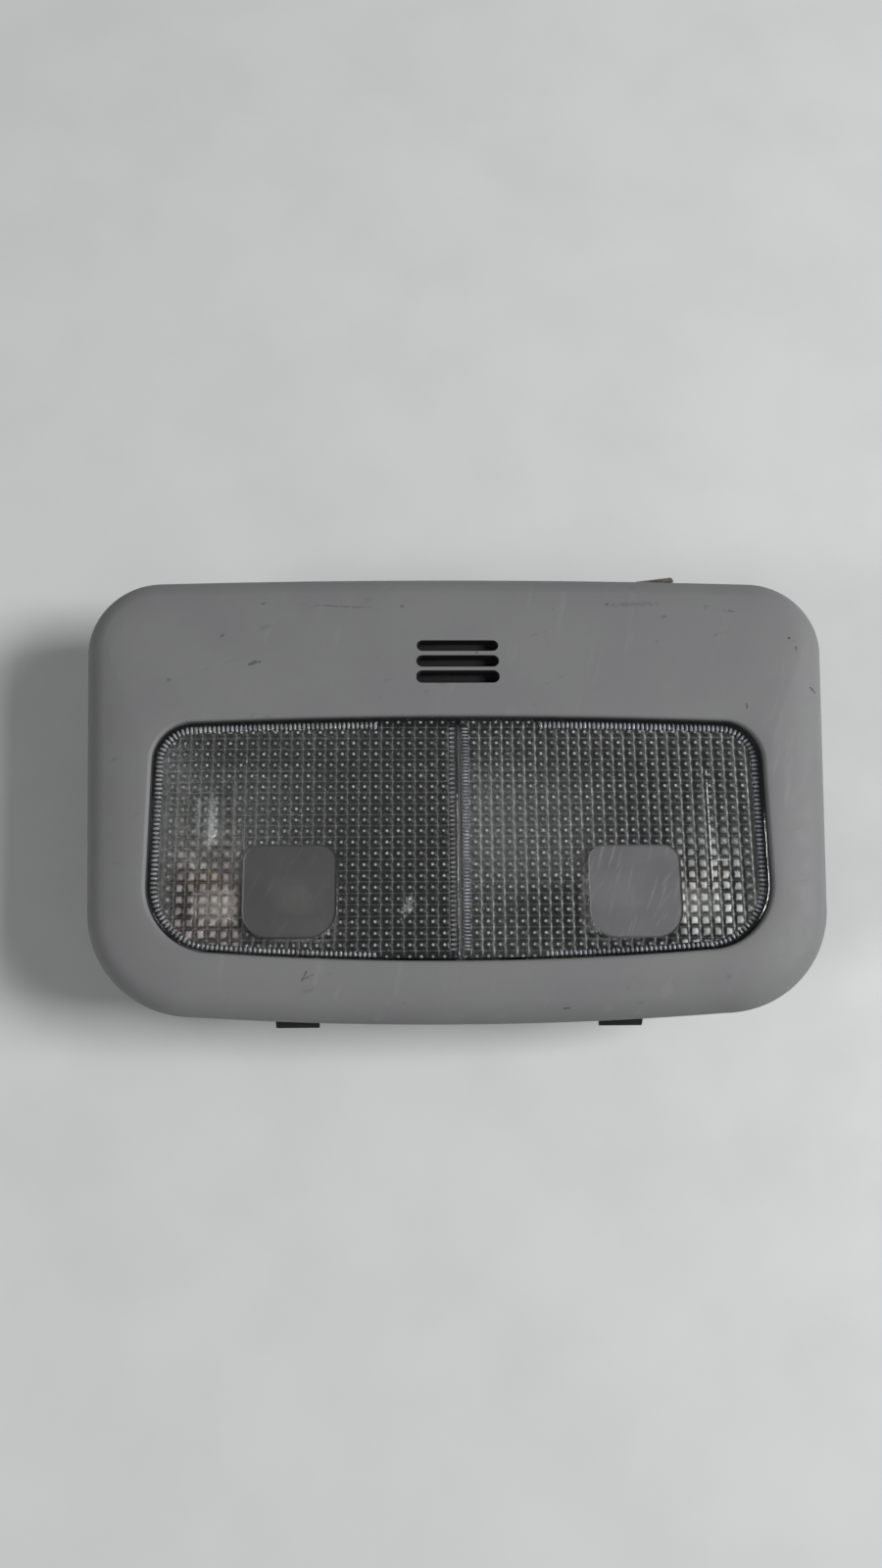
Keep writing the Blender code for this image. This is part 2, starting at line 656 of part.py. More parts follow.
def build_bezel(frame, finish):
    """The front moulding, with its slots, window flange, screw bosses, clip towers and snap arms."""
    bezel = make_object("front_bezel", loft(bezel_section(), ring_loop=True), finish)
    boss_low = SCREW_EAR_Z + SCREW_EAR_THICKNESS + SEAT_GAP
    pilot_depth = SCREW_LENGTH - SCREW_EAR_THICKNESS + EMBED
    tower_y = BEZEL_TOP - TOWER_SETBACK
    for hand in (1, -1):
        for screw_y in (SCREW_UPPER_Y, SCREW_LOWER_Y):
            centre = (hand * SCREW_X, screw_y, boss_low)
            boss_top = skin_z(BEZEL.side_x(screw_y) - SCREW_X - BOSS_RADIUS) - BOSS_COVER
            join(bezel, cylinder(centre, BOSS_RADIUS, boss_top - boss_low))
            pilot = (hand * SCREW_X, screw_y, boss_low - EMBED)
            cut(bezel, cylinder(pilot, SCREW_SHANK_RADIUS + SEAT_GAP, pilot_depth))
        low = (hand * CLIP_X - TOWER_WIDTH / 2, tower_y - TOWER_THICKNESS / 2, RIM_Z - TOWER_DROP)
        high = (hand * CLIP_X + TOWER_WIDTH / 2, tower_y + TOWER_THICKNESS / 2, SHOULDER_Z)
        join(bezel, box(low, high))
        join(bezel, snap_arm(hand))
        cut(bezel, pin_slot(hand, True))
        cut(bezel, pin_slot(hand, False))
    for index in range(SLOT_COUNT):
        cut(bezel, slot_prism(SLOT_MIDDLE_Y + (index - (SLOT_COUNT - 1) / 2) * SLOT_PITCH))
    return place(bezel, frame)


def lens_ring(inset, z):
    """The right lens's outline, drawn in by a distance, at height z."""
    return [Vector((x, y, z)) for x, y in LENS.grown(-inset).right_half(LENS_SPLIT / 2 + inset)]


def inside(polygon, x, y):
    """Whether a point lies inside a polygon."""
    crossings = 0
    for (x0, y0), (x1, y1) in zip(polygon, polygon[1:] + polygon[:1]):
        if (y0 > y) != (y1 > y) and x < x0 + (y - y0) / (y1 - y0) * (x1 - x0):
            crossings += 1
    return crossings % 2 == 1


def prism_field():
    """A cutter for the pyramid dimples behind the lens plate: every whole cell but those at the pad."""
    limit = LENS.grown(EMBED - LENS_SKIRT_WALL).right_half(LENS_SPLIT / 2 + LENS_SKIRT_WALL - EMBED)
    pad_columns = range(PAD_FIRST_COLUMN, PAD_FIRST_COLUMN + PAD_CELLS)
    pad_rows = range(PAD_FIRST_ROW, PAD_FIRST_ROW + PAD_CELLS)
    cells = set()
    for column in range(PRISM_COLUMNS):
        for row in range(PRISM_ROWS):
            corners = [(column + a, row + b) for a in (0, 1) for b in (0, 1)]
            whole = all(inside(limit, *cell_corner(c, r)) for c, r in corners)
            if whole and not (column in pad_columns and row in pad_rows):
                cells.add((column, row))
    ridge_z = LENS_PLATE_Z + PRISM_RIDGE_RECESS
    bm = bmesh.new()
    lower = {}
    upper = {}

    def vertex(store, corner, z):
        if corner not in store:
            store[corner] = bm.verts.new((*cell_corner(*corner), z))
        return store[corner]

    for column, row in sorted(cells):
        loop = [(column, row), (column + 1, row), (column + 1, row + 1), (column, row + 1)]
        ridge = [vertex(upper, corner, ridge_z) for corner in loop]
        foot = [vertex(lower, corner, LENS_PLATE_Z - EMBED) for corner in loop]
        middle_x, middle_y = cell_corner(column + 0.5, row + 0.5)
        apex = bm.verts.new((middle_x, middle_y, ridge_z + PRISM_DEPTH))
        bm.faces.new(foot)
        steps = ((0, -1), (1, 0), (0, 1), (-1, 0))
        for index, (side_column, side_row) in enumerate(steps):
            after = (index + 1) % 4
            bm.faces.new((ridge[index], ridge[after], apex))
            if (column + side_column, row + side_row) not in cells:
                bm.faces.new((ridge[index], ridge[after], foot[after], foot[index]))
    return bm


def cell_corner(column, row):
    """Where the corner of a prism cell lies, counted from the lens's inner upper corner."""
    return PRISM_INNER_X + column * PRISM_PITCH, PRISM_TOP_Y - row * PRISM_PITCH


def lens_tray():
    """The lens plate and its skirt, without prisms."""
    half_edge = LENS_EDGE * (1 - math.sin(math.radians(45)))
    return loft([
        lens_ring(LENS_SKIRT_WALL, LENS_PLATE_Z),
        lens_ring(LENS_SKIRT_WALL, LENS_SKIRT_Z),
        lens_ring(0.0, LENS_SKIRT_Z),
        lens_ring(0.0, LENS_Z - LENS_EDGE),
        lens_ring(half_edge, LENS_Z - half_edge),
        lens_ring(LENS_EDGE, LENS_Z),
    ])


def push_post():
    """The post under the finger pad that presses the switch."""
    bm = rounded_square((PAD_X, PAD_Y), POST_TOP_SIDE, LENS_EDGE, POST_TIP_Z, LENS_PLATE_Z + EMBED)
    taper = POST_TIP_SIDE / POST_TOP_SIDE
    for vert in bm.verts:
        if vert.co.z < LENS_PLATE_Z:
            vert.co.x = PAD_X + (vert.co.x - PAD_X) * taper
            vert.co.y = PAD_Y + (vert.co.y - PAD_Y) * taper
    return bm


def hinge_ear(upper):
    """The thickened ear beside a hinge pin, which shows in the gap round the lens."""
    out = 1 if upper else -1
    edge = LENS.top_y(PIN_X) if upper else LENS.bottom_y(PIN_X)
    far = edge + out * (LENS_GAP - RUN_GAP)
    near = edge - out * LENS_SKIRT_WALL / 2
    low = (PIN_X - EAR_WIDTH / 2, min(near, far), PIN_Z - EAR_HEIGHT / 2)
    high = (PIN_X + EAR_WIDTH / 2, max(near, far), PIN_Z + EAR_HEIGHT / 2)
    return box(low, high)


def hinge_pin(upper):
    """The round pin that turns in the window flange."""
    out = 1 if upper else -1
    edge = LENS.top_y(PIN_X) if upper else LENS.bottom_y(PIN_X)
    length = LENS_SKIRT_WALL / 2 + LENS_GAP + FLANGE_WALL
    start = edge - out * LENS_SKIRT_WALL / 2
    return cylinder((PIN_X, min(start, start + out * length), PIN_Z), PIN_RADIUS, length, "Y")


def build_lens(frame, hand, name, finish):
    """A push lens: plate, skirt, prisms, finger pad, push post, ears and hinge pins."""
    lens = make_object(name, on_side(lens_tray(), hand), finish)
    cut(lens, on_side(prism_field(), hand))
    join(lens, on_side(push_post(), hand))
    for upper in (True, False):
        join(lens, on_side(hinge_ear(upper), hand))
        join(lens, on_side(hinge_pin(upper), hand))
    pad_side = PAD_CELLS * PRISM_PITCH
    pad = rounded_square((PAD_X, PAD_Y), pad_side, PAD_RADIUS, LENS_Z - PAD_RECESS, LENS_Z + EMBED)
    cut(lens, on_side(pad, hand))
    return place(lens, frame, (hand * PIN_X, 0.0, PIN_Z))


def housing_outline(z, inset=0.0):
    """The drafted outer wall of the lamp housing at height z."""
    draft = HOUSING_DRAFT * (1 - z / HOUSING_TOP_Z)
    return WINDOW.grown(HOUSING_WALL - draft - inset)


def housing_tray():
    """The drafted tray, open to the front, with a shallow recess behind its back wall."""
    return loft([
        housing_outline(BACK_RECESS, HOUSING_WALL).ring(BACK_RECESS),
        housing_outline(0.0, HOUSING_WALL).ring(0.0),
        housing_outline(0.0).ring(0.0),
        housing_outline(HOUSING_TOP_Z).ring(HOUSING_TOP_Z),
        housing_outline(HOUSING_TOP_Z, HOUSING_WALL).ring(HOUSING_TOP_Z),
        housing_outline(FLOOR_Z, HOUSING_WALL).ring(FLOOR_Z),
    ])


def divider():
    """The wall between the two lamp chambers."""
    low_z = FLOOR_Z - EMBED
    high_z = HOUSING_TOP_Z - DIVIDER_DROP
    low = housing_outline(low_z, HOUSING_WALL - EMBED)
    high = housing_outline(high_z, HOUSING_WALL - EMBED)
    points = [(low.bottom, low_z), (low.top, low_z), (high.top, high_z), (high.bottom, high_z)]
    return side_solid(points, -DIVIDER_WALL / 2, DIVIDER_WALL / 2)


def screw_ear(hand, y):
    """A lug on the housing's side for one screw, with a round end."""
    middle_z = SCREW_EAR_Z + SCREW_EAR_THICKNESS / 2
    root = housing_outline(middle_z, HOUSING_WALL / 2).half_top
    points = [(root, y - SCREW_EAR_RADIUS)]
    for step in range(CORNER_STEPS + 1):
        angle = -math.pi / 2 + math.pi * step / CORNER_STEPS
        x = SCREW_X + SCREW_EAR_RADIUS * math.cos(angle)
        points.append((x, y + SCREW_EAR_RADIUS * math.sin(angle)))
    points.append((root, y + SCREW_EAR_RADIUS))
    return on_side(plan_solid(points, SCREW_EAR_Z, SCREW_EAR_Z + SCREW_EAR_THICKNESS), hand)


def pin_keeper(hand, upper):
    """A tongue that closes the slot behind a hinge pin."""
    edge = WINDOW.top_y(PIN_X) if upper else WINDOW.bottom_y(PIN_X)
    out = 1 if upper else -1
    near = edge + out * SEAT_GAP
    far = edge + out * (HOUSING_WALL - SEAT_GAP)
    low = (PIN_X - KEEPER_WIDTH / 2, min(near, far), HOUSING_TOP_Z - EMBED)
    high = (PIN_X + KEEPER_WIDTH / 2, max(near, far), PIN_Z - PIN_RADIUS - RUN_GAP)
    return on_side(box(low, high), hand)


def cradle(hand, share):
    """A rib on the housing's floor that a reflector rests in, at a share of the reflector's length."""
    y = BULB_TIP_Y - REFLECTOR_LENGTH * share
    outer = REFLECTOR_RADIUS + REFLECTOR_WALL
    low = (BULB_X - outer + EMBED, y - CRADLE_WALL / 2, FLOOR_Z - EMBED)
    high = (BULB_X + outer - EMBED, y + CRADLE_WALL / 2, BULB_Z - outer + CRADLE_HEIGHT)
    return on_side(box(low, high), hand)


def claw_wall_y():
    """The lowest y of the housing's lower wall behind a claw's plate."""
    inner_edge = CLAW_X - CLAW_WIDTH / 2
    return housing_outline(RIM_Z).bottom_y(inner_edge)


def claw_peg(hand):
    """The peg on the housing's lower wall that a claw snaps over."""
    start = claw_wall_y() - PEG_LENGTH
    root = housing_outline(peg_z()).bottom_y(CLAW_X) + HOUSING_WALL / 2
    return cylinder((hand * CLAW_X, start, peg_z()), PEG_RADIUS, root - start, "Y")


def peg_z():
    """Height of the claws' pegs: the middle of the claw's plate."""
    return RIM_Z - CLAW_DROP - CLAW_PLATE_HEIGHT / 2


def connector_back_y():
    """Where the connector socket starts, beyond the housing's upper wall."""
    return housing_outline(BACK_RECESS).top + CONNECTOR_OFFSET


def connector_shelf():
    """The ledge with two rails that the connector socket sits on."""
    width = CONNECTOR_WIDTH / 2 + SEAT_GAP + SHELF_RAIL_WALL
    rail = CONNECTOR_WIDTH / 2 + SEAT_GAP
    top = BACK_RECESS - SEAT_GAP - EMBED
    low = top - SHELF_THICKNESS
    high = top + SHELF_RAIL_HEIGHT
    points = [(-width, low), (width, low), (width, high), (rail, high), (rail, top), (-rail, top),
              (-rail, high), (-width, high)]
    start = housing_outline(high).top_y(CONNECTOR_X) - HOUSING_WALL / 2
    end = connector_back_y() + CONNECTOR_DEPTH
    return loft([[Vector((CONNECTOR_X + x, y, z)) for x, z in points] for y in (start, end)])


def pin_x(index):
    """Middle of the ground pin (0) or the supply pin (1) in the connector."""
    return CONNECTOR_X + (index - 0.5) * CONNECTOR_PIN_SPACING


def cut_bar_passages(housing):
    """Cut what the busbars pass through: finger slots, blade slots and the notches to the connector."""
    reach = HOUSING_BACK_WALL + 2 * EMBED
    for hand in (1, -1):
        for side in (1, -1):
            centre = (hand * BULB_X + side * FINGER_OFFSET, FINGER_Y)
            cut(housing, passage(centre, BAR_THICKNESS, FINGER_WIDTH, reach))
        supply = (hand * supply_blade_x(), supply_blade_y())
        cut(housing, passage(supply, FINGER_WIDTH, BAR_THICKNESS, reach))
        switched = (hand * lamp_blade_x(), FINGER_Y)
        cut(housing, passage(switched, BAR_THICKNESS, FINGER_WIDTH, reach))
    for index in (0, 1):
        half = CONNECTOR_PIN_WIDTH / 2 + SEAT_GAP
        start = housing_outline(BACK_RECESS, HOUSING_WALL).top - WINDOW_BOW_TOP - EMBED
        end = connector_back_y()
        low = (pin_x(index) - half, start, -EMBED)
        high = (pin_x(index) + half, end, BACK_RECESS)
        cut(housing, box(low, high))


def passage(centre, size_x, size_y, reach):
    """A cutter through the housing's back wall, with clearance round a metal finger."""
    half_x = size_x / 2 + SEAT_GAP
    half_y = size_y / 2 + SEAT_GAP
    low = (centre[0] - half_x, centre[1] - half_y, BACK_RECESS - EMBED)
    return box(low, (centre[0] + half_x, centre[1] + half_y, BACK_RECESS - EMBED + reach))


def build_housing(frame, finish):
    """The tray behind the lenses, with its lugs, tongues, cradles, pegs and connector shelf."""
    housing = make_object("lamp_housing", housing_tray(), finish)
    join(housing, divider())
    join(housing, connector_shelf())
    trough = REFLECTOR_RADIUS + REFLECTOR_WALL + SEAT_GAP
    for hand in (1, -1):
        for screw_y in (SCREW_UPPER_Y, SCREW_LOWER_Y):
            join(housing, screw_ear(hand, screw_y))
            hole = (hand * SCREW_X, screw_y, SCREW_EAR_Z - EMBED)
            cut(housing, cylinder(hole, SCREW_SHANK_RADIUS + SEAT_GAP, SCREW_EAR_THICKNESS + 2 * EMBED))
        for upper in (True, False):
            join(housing, pin_keeper(hand, upper))
        for share in CRADLE_SHARES:
            join(housing, cradle(hand, share))
        start = (hand * BULB_X, BULB_TIP_Y - REFLECTOR_LENGTH, BULB_Z)
        cut(housing, cylinder(start, trough, REFLECTOR_LENGTH, "Y"))
        join(housing, claw_peg(hand))
        for x in holder_peg_places():
            hole = (hand * x, holder_middle_y(), BACK_RECESS - EMBED)
            cut(housing, cylinder(hole, HOLDER_PEG_RADIUS + SEAT_GAP, HOUSING_BACK_WALL + 2 * EMBED))
    cut_bar_passages(housing)
    return place(housing, frame)


def build_screw(frame, name, hand, y, finish):
    """A pan-head screw driven from behind, with a cross recess."""
    head_low = SCREW_EAR_Z - SEAT_GAP - SCREW_HEAD_HEIGHT
    shank_top = SCREW_EAR_Z + SCREW_LENGTH
    x = hand * SCREW_X
    profile = [(SCREW_HEAD_RADIUS * SCREW_HEAD_TOP_SHARE, head_low),
               (SCREW_HEAD_RADIUS, head_low + SCREW_HEAD_HEIGHT / 2),
               (SCREW_HEAD_RADIUS, head_low + SCREW_HEAD_HEIGHT),
               (SCREW_SHANK_RADIUS, head_low + SCREW_HEAD_HEIGHT),
               (SCREW_SHANK_RADIUS, shank_top - 2 * SCREW_SHANK_RADIUS),
               (SCREW_SHANK_RADIUS / 3, shank_top)]
    screw = make_object(name, turned(profile, (x, y, 0.0)), finish)
    for half_x, half_y in ((SCREW_RECESS_LENGTH / 2, SCREW_RECESS_WIDTH / 2),
                           (SCREW_RECESS_WIDTH / 2, SCREW_RECESS_LENGTH / 2)):
        low = (x - half_x, y - half_y, head_low - EMBED)
        cut(screw, box(low, (x + half_x, y + half_y, head_low + SCREW_RECESS_DEPTH)))
    return place(screw, frame)


def build_switch(frame, side, hand, finishes):
    """A push switch: base, case, plunger and return spring."""
    centre = Vector((hand * PAD_X, PAD_Y))

    def block(half, low_z, high_z):
        return box((centre.x - half, centre.y - half, low_z), (centre.x + half, centre.y + half, high_z))

    half = SWITCH_SIDE / 2
    base_bm = block(half, SWITCH_BASE_Z, SWITCH_BASE_Z + SWITCH_BASE_HEIGHT)
    place(make_object(side + "_switch_base", base_bm, finishes["switch_base"]), frame)
    case_bm = block(half, SWITCH_CASE_Z, SWITCH_CASE_TOP_Z)
    case = make_object(side + "_switch_case", case_bm, finishes["switch_case"])
    cavity = half - SWITCH_CASE_WALL
    cut(case, block(cavity, SWITCH_CASE_Z - EMBED, SWITCH_ROOF_Z))
    mouth = PLUNGER_STEM_SIDE / 2 + RUN_GAP
    cut(case, block(mouth, SWITCH_ROOF_Z - EMBED, SWITCH_CASE_TOP_Z + EMBED))
    place(case, frame)
    flange_bm = block(cavity - RUN_GAP, PLUNGER_FLANGE_Z, PLUNGER_FLANGE_Z + PLUNGER_FLANGE_HEIGHT)
    plunger = make_object(side + "_switch_plunger", flange_bm, finishes["plunger"])
    join(plunger, rounded_square(centre, PLUNGER_STEM_SIDE, LENS_EDGE, PLUNGER_FLANGE_Z + EMBED,
                                 POST_TIP_Z - SEAT_GAP))
    nub = (centre.x, centre.y, PLUNGER_FLANGE_Z - PLUNGER_NUB_HEIGHT)
    join(plunger, cylinder(nub, PLUNGER_NUB_RADIUS, PLUNGER_NUB_HEIGHT + EMBED))
    place(plunger, frame, (centre.x, centre.y, PLUNGER_FLANGE_Z))
    build_spring(frame, side, centre, finishes["spring"])


def build_spring(frame, side, centre, finish):
    """The coil between the switch base and the plunger, as one tube along a helix."""
    low = SWITCH_BASE_Z + SWITCH_BASE_HEIGHT + SEAT_GAP + SPRING_WIRE_RADIUS
    high = PLUNGER_FLANGE_Z - SEAT_GAP - SPRING_WIRE_RADIUS
    count = round(SPRING_TURNS * SPRING_STEPS_PER_TURN)
    path = []
    for step in range(count + 1):
        angle = 2 * math.pi * step / SPRING_STEPS_PER_TURN
        path.append(Vector((SPRING_RADIUS * math.cos(angle), SPRING_RADIUS * math.sin(angle),
                            low + (high - low) * step / count)))
    turn_gap = min((path[i] - path[i + SPRING_STEPS_PER_TURN]).length
                   for i in range(len(path) - SPRING_STEPS_PER_TURN)) - 2 * SPRING_WIRE_RADIUS
    print(f"{side} switch spring: least gap between turns {turn_gap / MM:.2f} mm")
    curve = bpy.data.curves.new(side + "_switch_spring", "CURVE")
    curve.dimensions = "3D"
    curve.bevel_depth = SPRING_WIRE_RADIUS
    curve.bevel_resolution = 1
    curve.use_fill_caps = True
    spline = curve.splines.new("POLY")
    spline.points.add(len(path) - 1)
    for point, co in zip(spline.points, path):
        point.co = (*co, 1.0)
    curve.materials.append(finish)
    spring = bpy.data.objects.new(side + "_switch_spring", curve)
    bpy.context.scene.collection.objects.link(spring)
    spring.parent = frame
    spring.location = (centre.x, centre.y, 0.0)


def bulb_ring(half_x, half_z, y):
    """A ring round the bulb's axis: round, or squarer where its sides are unlike."""
    ring = []
    for step in range(ROUND_STEPS):
        angle = 2 * math.pi * step / ROUND_STEPS
        ring.append(Vector((half_x * math.cos(angle), y, BULB_Z + half_z * math.sin(angle))))
    return ring


def build_bulb(frame, side, hand, finish):
    """A wedge-base bulb, lying with its tip towards the microphone end."""
    rings = []
    dome_steps = CORNER_STEPS
    for step in range(1, dome_steps + 1):
        angle = math.pi / 2 * step / dome_steps
        rings.append(bulb_ring(BULB_RADIUS * math.sin(angle), BULB_RADIUS * math.sin(angle),
                               BULB_TIP_Y - BULB_RADIUS * (1 - math.cos(angle))))
    neck_y = BULB_TIP_Y - BULB_GLASS_LENGTH
    rings.append(bulb_ring(BULB_RADIUS, BULB_RADIUS, neck_y + BULB_RADIUS))
    half_x = BULB_WEDGE_THICKNESS / 2
    half_z = BULB_WEDGE_WIDTH / 2
    rings.append(bulb_ring(half_x, half_z, neck_y))
    rings.append(bulb_ring(half_x, half_z, WEDGE_END_Y))
    bm = loft(rings)
    bmesh.ops.translate(bm, vec=(hand * BULB_X, 0, 0), verts=bm.verts)
    return place(make_object(side + "_bulb", bm, finish), frame)


def holder_front_y():
    """The face of a bulb holder that the bulb's wedge goes into."""
    return WEDGE_END_Y + HOLDER_GRIP


def holder_middle_y():
    """Middle of a bulb holder, where its pegs stand."""
    return holder_front_y() - HOLDER_LENGTH / 2


def holder_peg_places():
    """The x of the two pegs under the right-hand bulb holder."""
    middle = BULB_X - HOLDER_SHIFT
    return (middle - HOLDER_PEG_SPACING / 2, middle + HOLDER_PEG_SPACING / 2)


def build_holder(frame, side, hand, finish):
    """The pale block behind a bulb's base: a pocket for the wedge, and two pegs in the housing's floor."""
    middle = BULB_X - HOLDER_SHIFT
    base = FLOOR_Z + SEAT_GAP
    low = (middle - HOLDER_WIDTH / 2, holder_front_y() - HOLDER_LENGTH, base)
    high = (middle + HOLDER_WIDTH / 2, holder_front_y(), HOLDER_TOP_Z)
    holder = make_object(side + "_bulb_holder", on_side(box(low, high), hand), finish)
    half_x = BULB_WEDGE_THICKNESS / 2 + SEAT_GAP
    half_z = BULB_WEDGE_WIDTH / 2 + SEAT_GAP
    pocket_low = (BULB_X - half_x, WEDGE_END_Y - SEAT_GAP, BULB_Z - half_z)
    pocket_high = (BULB_X + half_x, holder_front_y() + EMBED, BULB_Z + half_z)
    cut(holder, on_side(box(pocket_low, pocket_high), hand))
    for x in holder_peg_places():
        foot = (hand * x, holder_middle_y(), BACK_RECESS)
        join(holder, cylinder(foot, HOLDER_PEG_RADIUS, base - BACK_RECESS + EMBED))
    return place(holder, frame)


def build_reflector(frame, side, hand, finish):
    """The bright metal trough behind a bulb."""
    points = []
    for radius, backwards in ((REFLECTOR_RADIUS, False), (REFLECTOR_RADIUS + REFLECTOR_WALL, True)):
        for step in range(ROUND_STEPS + 1):
            share = 1 - step / ROUND_STEPS if backwards else step / ROUND_STEPS
            angle = math.pi + math.pi * share
            points.append((hand * BULB_X + radius * math.cos(angle), BULB_Z + radius * math.sin(angle)))
    rings = []
    for y in (BULB_TIP_Y - REFLECTOR_LENGTH + SEAT_GAP, BULB_TIP_Y - SEAT_GAP):
        rings.append([Vector((x, y, z)) for x, z in points])
    return place(make_object(side + "_reflector", loft(rings), finish), frame)


def supply_blade_x():
    """Middle of the supply bar's blade beside the right switch."""
    return PAD_X


def supply_blade_y():
    """Where that blade stands, against the switch's upper side."""
    return PAD_Y + SWITCH_SIDE / 2 + SEAT_GAP + BAR_THICKNESS / 2


def lamp_blade_x():
    """Middle of the switched bar's blade, against the right switch's outer side."""
    return PAD_X + SWITCH_SIDE / 2 + SEAT_GAP + BAR_THICKNESS / 2


def upright(centre, size_x, size_y, top):
    """A metal finger or blade standing on a busbar."""
    low = (centre[0] - size_x / 2, centre[1] - size_y / 2, BAR_BOTTOM_Z + BAR_THICKNESS / 4)
    return box(low, (centre[0] + size_x / 2, centre[1] + size_y / 2, top))


def connector_pin(index, start_y):
    """A bar's end: past the housing's wall, up, and into the connector socket."""
    flat = BAR_BOTTOM_Z + BAR_THICKNESS / 2
    rise_y = connector_back_y() - SEAT_GAP - BAR_THICKNESS / 2 - EMBED
    end_y = connector_back_y() + CONNECTOR_PIN_LENGTH
    raised = flat + CONNECTOR_PIN_RISE
    path = [(start_y, flat), (rise_y, flat), (rise_y, raised), (end_y, raised)]
    low = pin_x(index) - CONNECTOR_PIN_WIDTH / 2
    high = pin_x(index) + CONNECTOR_PIN_WIDTH / 2
    return bent_strip(low, path, high, path, BAR_THICKNESS)


def flat_bar(points):
    """The flat part of a busbar, cut from sheet."""
    return plan_solid(points, BAR_BOTTOM_Z, BAR_TOP_Z)


def build_supply_bar(frame, finish):
    """The bar from the connector to both switches."""
    half = BAR_WIDTH / 2
    reach = PAD_X + FINGER_WIDTH / 2
    foot = supply_blade_y() - BAR_THICKNESS / 2
    inner = PAD_X - FINGER_WIDTH / 2
    points = [(reach, SUPPLY_Y + half), (-reach, SUPPLY_Y + half), (-reach, foot), (-inner, foot),
              (-inner, SUPPLY_Y - half), (inner, SUPPLY_Y - half), (inner, foot), (reach, foot)]
    bar = make_object("supply_busbar", flat_bar(points), finish)
    low = (min(pin_x(1), -reach) - CONNECTOR_PIN_WIDTH / 2, SUPPLY_Y - half + EMBED, BAR_BOTTOM_Z)
    join(bar, box(low, (-inner, SUPPLY_Y + half - EMBED, BAR_TOP_Z)))
    for hand in (1, -1):
        centre = (hand * supply_blade_x(), supply_blade_y())
        join(bar, upright(centre, FINGER_WIDTH, BAR_THICKNESS, BLADE_TOP_Z))
    join(bar, connector_pin(1, SUPPLY_Y))
    return place(bar, frame)


def build_ground_bar(frame, finish):
    """The bar from the connector to the outer side of both bulbs."""
    half = BAR_WIDTH / 2
    outer = BULB_X + FINGER_OFFSET + BAR_THICKNESS
    inner = outer - BAR_WIDTH / 2 - BAR_THICKNESS / 2
    top = FINGER_Y + FINGER_WIDTH / 2
    pin_edge = pin_x(0) + CONNECTOR_PIN_WIDTH / 2
    turn_low = GROUND_TURN_Y - half
    points = [(-outer, GROUND_Y - half), (outer, GROUND_Y - half), (outer, top), (inner, top),
              (inner, GROUND_Y + half), (-inner, GROUND_Y + half), (-inner, turn_low), (pin_edge, turn_low),
              (pin_edge, GROUND_TURN_Y + half), (-outer, GROUND_TURN_Y + half)]
    bar = make_object("ground_busbar", flat_bar(points), finish)
    for hand in (1, -1):
        centre = (hand * (BULB_X + FINGER_OFFSET), FINGER_Y)
        join(bar, upright(centre, BAR_THICKNESS, FINGER_WIDTH, FINGER_TOP_Z))
    join(bar, connector_pin(0, GROUND_TURN_Y))
    return place(bar, frame)


def build_lamp_bar(frame, side, hand, finish):
    """The short bar from a switch to the inner side of its bulb."""
    half = FINGER_WIDTH / 2 + EMBED
    start = lamp_blade_x() - BAR_THICKNESS
    end = BULB_X - FINGER_OFFSET + BAR_THICKNESS / 2
    points = [(start, FINGER_Y - half), (end, FINGER_Y - half),
              (end, FINGER_Y + half), (start, FINGER_Y + half)]
    bar = make_object(side + "_lamp_busbar", on_side(flat_bar(points), hand), finish)
    finger = upright((BULB_X - FINGER_OFFSET, FINGER_Y), BAR_THICKNESS, FINGER_WIDTH, FINGER_TOP_Z)
    blade = upright((lamp_blade_x(), FINGER_Y), BAR_THICKNESS, FINGER_WIDTH, BLADE_TOP_Z)
    join(bar, on_side(finger, hand))
    join(bar, on_side(blade, hand))
    return place(bar, frame)


def build_connector(frame, finish):
    """The socket for the wiring plug, open away from the lenses."""
    back = connector_back_y()
    low_z = BACK_RECESS - EMBED
    high_z = low_z + CONNECTOR_HEIGHT
    half = CONNECTOR_WIDTH / 2
    socket_bm = box((CONNECTOR_X - half, back, low_z), (CONNECTOR_X + half, back + CONNECTOR_DEPTH, high_z))
    socket = make_object("connector_socket", socket_bm, finish)
    inner = half - CONNECTOR_WALL
    cut(socket, box((CONNECTOR_X - inner, back + CONNECTOR_WALL, low_z + CONNECTOR_WALL),
                    (CONNECTOR_X + inner, back + CONNECTOR_DEPTH + EMBED, high_z - CONNECTOR_WALL)))
    flat = BAR_BOTTOM_Z + BAR_THICKNESS / 2 + CONNECTOR_PIN_RISE
    for index in (0, 1):
        half_pin = CONNECTOR_PIN_WIDTH / 2 + SEAT_GAP
        half_bar = BAR_THICKNESS / 2 + SEAT_GAP
        cut(socket, box((pin_x(index) - half_pin, back - EMBED, flat - half_bar),
                        (pin_x(index) + half_pin, back + CONNECTOR_WALL + EMBED, flat + half_bar)))
    return place(socket, frame)


